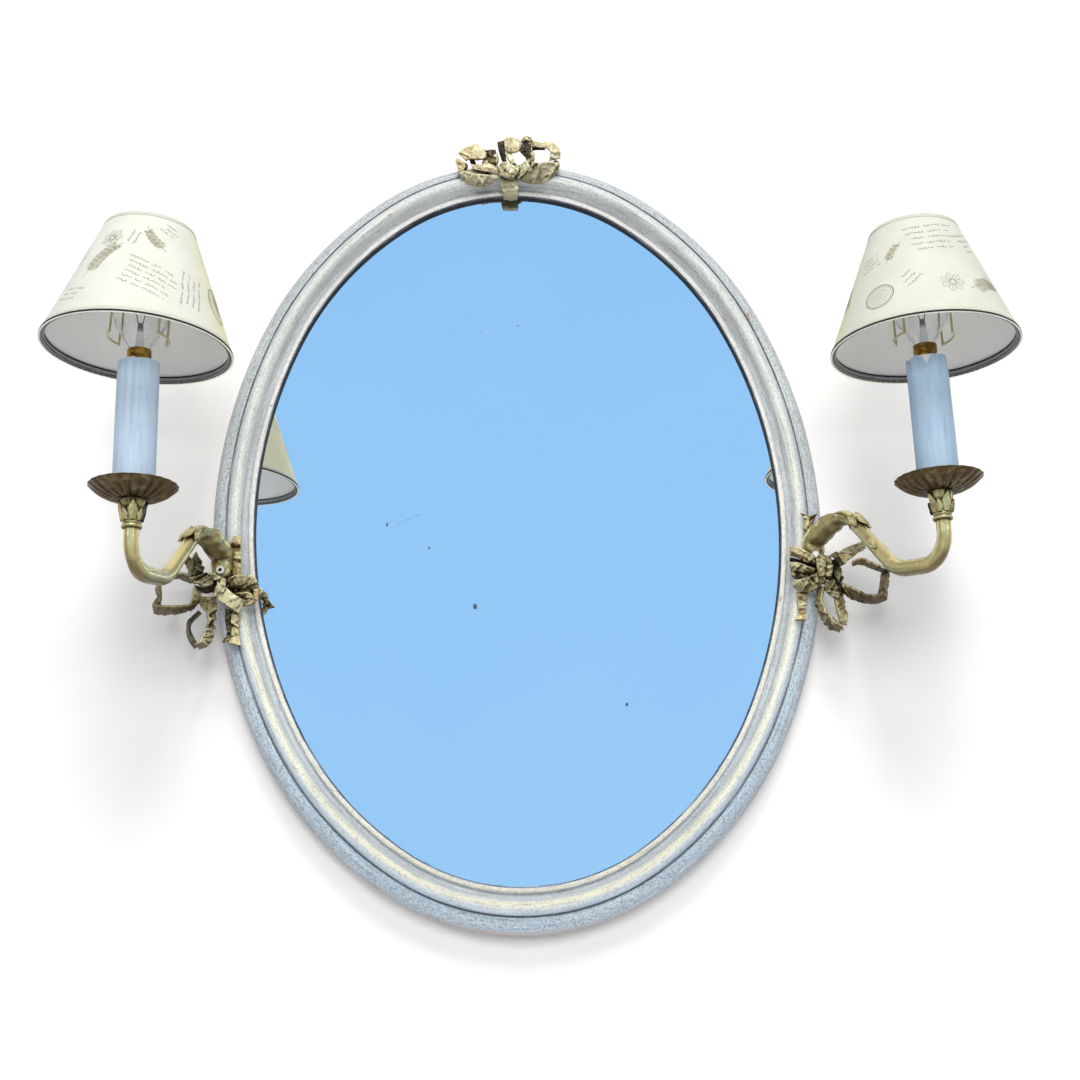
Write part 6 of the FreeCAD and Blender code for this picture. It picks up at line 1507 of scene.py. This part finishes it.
    def stroke(ta, za, pts, w, mat=0, taper=False):
        pts = np.asarray(pts, float)
        if len(pts) < 2:
            return
        T = np.gradient(pts, axis=0)
        ln = np.linalg.norm(T, axis=1)
        ln[ln < 1e-9] = 1
        T /= ln[:, None]
        Nn = np.stack([-T[:, 1], T[:, 0]], 1)
        V_ = []
        for i in range(len(pts)):
            hw = w / 2 * (0.45 + 0.55 * math.sin(math.pi * i / (len(pts) - 1)) if taper else 1.0)
            a, b = pts[i] + Nn[i] * hw, pts[i] - Nn[i] * hw
            V_.append(on_cone(ta, za, a[0], a[1]))
            V_.append(on_cone(ta, za, b[0], b[1]))
        P.add(V_, [(2 * i, 2 * i + 1, 2 * i + 3, 2 * i + 2) for i in range(len(pts) - 1)], mat)

    def rot(pts, a):
        c, s = math.cos(a), math.sin(a)
        return [(x * c - y * s, x * s + y * c) for x, y in pts]

    def pen_block(ta, za, wide, lines, pitch, slant, amp=0.8):
        for k in range(lines):
            y = (lines / 2 - k) * pitch
            x = -wide / 2 + rng.uniform(0, 4)
            stop = wide / 2 - rng.uniform(0, 7)
            while x < stop:
                run = rng.uniform(5, 13)
                e = min(stop, x + run)
                m = max(6, int((e - x) * 3.2))
                ph, fr = rng.uniform(0, 6), rng.uniform(0.95, 1.5)
                pts = []
                for q in range(m):
                    u = x + (e - x) * q / (m - 1)
                    a = amp * (0.55 + 0.45 * math.sin(u * 0.7 + ph))
                    pts.append((u + 0.35 * a * math.cos(u * fr * 2 + ph), y + a * 0.80 * math.sin(u * fr * 2 + ph) + 0.25 * math.sin(u * 0.35)))
                stroke(ta, za, rot(pts, slant), 0.50)
                x = e + rng.uniform(1.4, 2.6)

    def sprig(ta, za, ln, ang, pairs=5, mat=1):
        stem = [(ln * v, 0.10 * ln * math.sin(math.pi * v)) for v in np.linspace(0, 1, 16)]
        stroke(ta, za, rot(stem, ang), 0.45, 0)
        for k in range(pairs):
            v = 0.18 + 0.72 * k / pairs
            bx, by = ln * v, 0.10 * ln * math.sin(math.pi * v)
            for s_ in (-1, 1):
                a = s_ * math.radians(46)
                L = ln * 0.26 * (1 - 0.45 * v)
                up_, dn = [], []
                for w_ in np.linspace(0, 1, 8):
                    h = 0.30 * L * math.sin(math.pi * w_)
                    up_.append((L * w_, h))
                    dn.append((L * w_, -h))
                for line in (up_, dn):
                    q = [(bx + x, by + y) for x, y in rot(line, a)]
                    stroke(ta, za, rot(q, ang), 0.32, 0)
                for h in (-0.4, 0.0, 0.4):
                    line = [(L * w_, h * 0.30 * L * math.sin(math.pi * w_)) for w_ in np.linspace(0.12, 0.88, 6)]
                    q = [(bx + x, by + y) for x, y in rot(line, a)]
                    stroke(ta, za, rot(q, ang), 0.42, mat)

    def rosette(ta, za, r, petals=7):
        for k in range(petals):
            a = 2 * math.pi * k / petals
            for s_ in (-1, 1):
                line = [(r * (0.25 + 0.75 * v), s_ * r * 0.27 * math.sin(math.pi * v)) for v in np.linspace(0, 1, 9)]
                stroke(ta, za, rot(line, a), 0.34, 0)
            line = [(r * v, 0) for v in np.linspace(0.3, 0.8, 4)]
            stroke(ta, za, rot(line, a), 0.5, 1)
        ring = [(0.22 * r * math.cos(t), 0.22 * r * math.sin(t)) for t in np.linspace(0, 2 * math.pi, 14)]
        stroke(ta, za, ring, 0.5, 0)

    def cartouche(ta, za, a_, b_, tilt):
        for k, w in ((1.0, 0.9), (0.86, 0.32)):
            ring = [(k * a_ * math.cos(t), k * b_ * math.sin(t)) for t in np.linspace(0, 2 * math.pi, 48)]
            stroke(ta, za, rot(ring, tilt), w, 0 if k < 1 else 0)
        for k in range(-3, 4):
            x = a_ * 0.72 * k / 3.4
            h = b_ * 0.72 * math.sqrt(max(0, 1 - (x / (a_ * 0.8)) ** 2))
            stroke(ta, za, rot([(x, -h), (x * 0.9, 0), (x, h)], tilt + 0.6), 0.3, 1)
            stroke(ta, za, rot([(x, -h), (x * 0.9, 0), (x, h)], tilt - 0.6), 0.3, 1)
    front = math.radians(-90)
    if side == "left":
        sprig(front - 0.56, 106, 32, 1.0, 7)
        rosette(front - 0.36, 136, 7.4)
        pen_block(front - 0.62, 92, 22, 3, 4.0, -0.22, 1.1)
        pen_block(front + 0.30, 104, 36, 6, 4.3, -0.40, 1.2)
        pen_block(front + 0.10, 138, 20, 2, 4.0, 1.25, 1.1)
        sprig(front + 0.56, 128, 22, 2.1, 5)
        pen_block(front + 0.66, 144, 15, 3, 3.6, -0.55, 1.0)
        pen_block(front + 0.92, 102, 30, 4, 4.2, 1.35, 1.1)
        cartouche(front + 1.42, 104, 9.5, 13.0, -0.25)
        rosette(front - 1.15, 100, 6.8)
    else:
        pen_block(front + 0.06, 136, 34, 5, 5.0, 0.10, 1.3)
        pen_block(front + 0.72, 134, 18, 4, 4.4, 0.30, 1.2)
        cartouche(front - 0.78, 97, 9.6, 9.0, 0.1)
        sprig(front + 0.34, 96, 30, 0.25, 7)
        rosette(front + 0.12, 100, 8.0)
        rosette(front + 0.74, 104, 6.4)
        pen_block(front - 0.34, 106, 16, 3, 4.2, 0.75, 1.1)
        sprig(front - 0.74, 122, 18, 1.1, 4)
    for k in range(5):
        t0 = front + 1.45 + k * 0.85
        sprig(t0, 98 + 10 * (k % 2), 24, 1.2 + 0.5 * (k % 3))
        pen_block(t0 + 0.42, 126 - 12 * (k % 2), 20, 4, 3.5, 0.4 - 0.3 * k % 1)
        if k % 2:
            rosette(t0, 140, 5.5)
    prt = P.done(side + "_shade_print", ("ink", "ochre"), outward=False)
    leaned(side, prt)
    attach(prt, body)
    return prt


for side in ("left", "right"):
    make_shade(side)


# ------------------------------------------------------------------ openness of each cast surface
def openness(objs, blockers, reach=14.0, rays=20):
    verts, polys = [], []
    for o in blockers:
        base = len(verts)
        verts += [v.co.copy() for v in o.data.vertices]
        polys += [[base + i for i in p.vertices] for p in o.data.polygons]
    tree = BVHTree.FromPolygons(verts, polys, epsilon=0.0)
    dirs = []
    for k in range(rays):
        z = 1 - (k + 0.5) / rays
        r = math.sqrt(1 - z * z)
        t = k * 2.399963
        dirs.append((r * math.cos(t), r * math.sin(t), z))
    for o in objs:
        me = o.data
        vals = []
        for v in me.vertices:
            nrm = v.normal
            if nrm.length < 1e-6:
                vals.append(1.0)
                continue
            tx = nrm.orthogonal().normalized()
            ty = nrm.cross(tx)
            p = v.co + nrm * 0.00025
            hit = 0.0
            for dx, dy, dz in dirs:
                d = tx * dx + ty * dy + nrm * dz
                loc, nn, idx, dist = tree.ray_cast(p, d, reach * MM)
                if loc is not None:
                    hit += 1 - 0.6 * dist / (reach * MM)
            vals.append(1 - hit / rays)
        a = me.attributes.get("ao") or me.attributes.new("ao", "FLOAT", "POINT")
        a.data.foreach_set("value", np.asarray(vals, np.float32))


openness(CASTS, CASTS + [moulding])


# ------------------------------------------------------------------ materials of the carried-over nodes
NODE_MATS = {
    "mirror_glass": "mirror", "backboard": "board", "backboard_brads": "steel", "wall_bumpers": "felt",
    "left_hanger_plate": "steel", "right_hanger_plate": "steel", "left_hanger_ring": "steel", "right_hanger_ring": "steel",
    "hanger_screws": "steel", "junction_box": "blackp", "junction_box_cover": "blackp", "cable_grommet": "blackp",
    "terminal_block": "whitep", "box_screws": "steel", "lead_staples": "whitep", "crest_pins": "pin",
    "arm_nut": "steel", "nipple": "steel", "lampholder": "whitep", "lead": "pvc", "bulb_cap": "bright",
    "bulb_glass": "glass", "bulb_filament": "tungsten", "bulb_clip": "wire", "shade_gimbal": "wire", "shade_top_ring": "wire_grey",
    "shade_bottom_ring": "wire_grey",
}
for name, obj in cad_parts.items():
    key = NODE_MATS.get(name)
    if key is None:
        for tail, k in NODE_MATS.items():
            if name.endswith("_" + tail):
                key = k
                break
    if key is None:
        key = "steel"
    for slot in obj.material_slots:
        slot.link = "OBJECT"
        slot.material = MATS[key]


# ------------------------------------------------------------------ stage
def one_sided(name, colour, rough=0.9):
    """Pale wall or floor that is seen from its front only."""
    M = Mat(name)
    n = M.noise(M.pos(), 3.0, 3.0)
    col = M.ramp(n, [(0.3, colour), (0.7, tuple(min(1.0, c * 1.01) for c in colour[:3]) + (1.0,))])
    M.set(color=col, rough=rough, spec=0.1)
    geo = M.node("ShaderNodeNewGeometry")
    tr = M.node("ShaderNodeBsdfTransparent")
    mx = M.node("ShaderNodeMixShader")
    M.t.links.new(geo.outputs["Backfacing"], mx.inputs[0])
    M.t.links.new(M.b.outputs[0], mx.inputs[1])
    M.t.links.new(tr.outputs[0], mx.inputs[2])
    M.t.links.new(mx.outputs[0], M.o.inputs["Surface"])
    return M.m


def stage_plane(name, corners, mat):
    me = bpy.data.meshes.new(name)
    me.from_pydata(corners, [], [(0, 1, 2, 3)])
    me.materials.append(mat)
    o = bpy.data.objects.new(name, me)
    scene.collection.objects.link(o)
    return o


white = one_sided("wall_white", (0.93, 0.93, 0.935, 1.0))
pale = one_sided("floor_pale", (0.84, 0.84, 0.845, 1.0))
wall = stage_plane("wall", [(-4, 0.0004, -1.30), (4, 0.0004, -1.30), (4, 0.0004, 4), (-4, 0.0004, 4)], white)
floor = stage_plane("floor", [(-4, -5, -1.30), (4, -5, -1.30), (4, 0.0004, -1.30), (-4, 0.0004, -1.30)], pale)


def area(name, loc, aim, size, power, colour=(1, 1, 1), size_y=None, glossy=True):
    d = bpy.data.lights.new(name, "AREA")
    d.shape = "RECTANGLE"
    d.size = size
    d.size_y = size_y or size
    d.energy = power
    d.color = colour
    o = bpy.data.objects.new(name, d)
    scene.collection.objects.link(o)
    v = Vector(aim) - Vector(loc)
    o.rotation_mode = "QUATERNION"
    o.rotation_quaternion = v.to_track_quat("-Z", "Y")
    o.location = loc
    o.visible_glossy = glossy
    return o


area("key_low", (0.04, -2.85, 0.56), (0.0, -0.05, 0.05), 1.15, 44.0, (1.0, 0.99, 0.975), glossy=False)
area("key_high", (0.16, -2.05, 2.05), (0.0, -0.05, 0.0), 1.0, 46.0, (1.0, 0.99, 0.975))
area("top", (-0.15, -1.9, 2.60), (0.0, -0.05, 0.0), 0.8, 5.0, (0.98, 0.99, 1.0))
area("bounce_left", (-0.24, -0.17, -0.95), (-0.24, -0.165, 0.08), 0.5, 0.8, glossy=False)
area("bounce_right", (0.26, -0.16, -0.95), (0.26, -0.155, 0.08), 0.5, 0.8, glossy=False)
area("fill_left", (-2.1, -1.9, 0.9), (0, -0.1, 0.0), 0.6, 5.5, (1.0, 0.99, 0.97))
area("fill_right", (2.1, -1.9, 0.8), (0, -0.1, 0.0), 0.6, 5.5, (0.96, 0.98, 1.0))


def make_world():
    w = bpy.data.worlds.new("sky")
    scene.world = w
    w.use_nodes = True
    t = w.node_tree
    t.nodes.clear()
    out = t.nodes.new("ShaderNodeOutputWorld")
    tc = t.nodes.new("ShaderNodeTexCoord")
    sep = t.nodes.new("ShaderNodeSeparateXYZ")
    t.links.new(tc.outputs["Generated"], sep.inputs[0])
    # clear sky ahead of the glass, paler near the horizon
    ramp = t.nodes.new("ShaderNodeValToRGB")
    cr = ramp.color_ramp
    cr.elements[0].position, cr.elements[0].color = 0.36, lin(166, 211, 248)
    cr.elements[1].position, cr.elements[1].color = 0.86, lin(142, 198, 246)
    mp = t.nodes.new("ShaderNodeMapRange")
    mp.inputs["From Min"].default_value = -1.0
    mp.inputs["From Max"].default_value = 1.0
    t.links.new(sep.outputs[2], mp.inputs["Value"])
    t.links.new(mp.outputs[0], ramp.inputs[0])
    sky = t.nodes.new("ShaderNodeBackground")
    t.links.new(ramp.outputs[0], sky.inputs[0])
    sky.inputs[1].default_value = 1.0
    amb = t.nodes.new("ShaderNodeBackground")
    amb.inputs[0].default_value = (0.93, 0.96, 1.0, 1.0)
    amb.inputs[1].default_value = 0.055
    lp = t.nodes.new("ShaderNodeLightPath")
    front = t.nodes.new("ShaderNodeMapRange")
    front.inputs["From Min"].default_value = -0.50
    front.inputs["From Max"].default_value = -0.72
    t.links.new(sep.outputs[1], front.inputs["Value"])
    gl = t.nodes.new("ShaderNodeMath")
    gl.operation = "MULTIPLY"
    t.links.new(lp.outputs["Is Glossy Ray"], gl.inputs[0])
    t.links.new(front.outputs[0], gl.inputs[1])
    mix = t.nodes.new("ShaderNodeMixShader")
    t.links.new(gl.outputs[0], mix.inputs[0])
    t.links.new(amb.outputs[0], mix.inputs[1])
    t.links.new(sky.outputs[0], mix.inputs[2])
    cam_bg = t.nodes.new("ShaderNodeBackground")
    cam_bg.inputs[0].default_value = (0.90, 0.92, 0.94, 1.0)
    cam_bg.inputs[1].default_value = 1.0
    mix2 = t.nodes.new("ShaderNodeMixShader")
    t.links.new(lp.outputs["Is Camera Ray"], mix2.inputs[0])
    t.links.new(mix.outputs[0], mix2.inputs[1])
    t.links.new(cam_bg.outputs[0], mix2.inputs[2])
    t.links.new(mix2.outputs[0], out.inputs[0])


make_world()
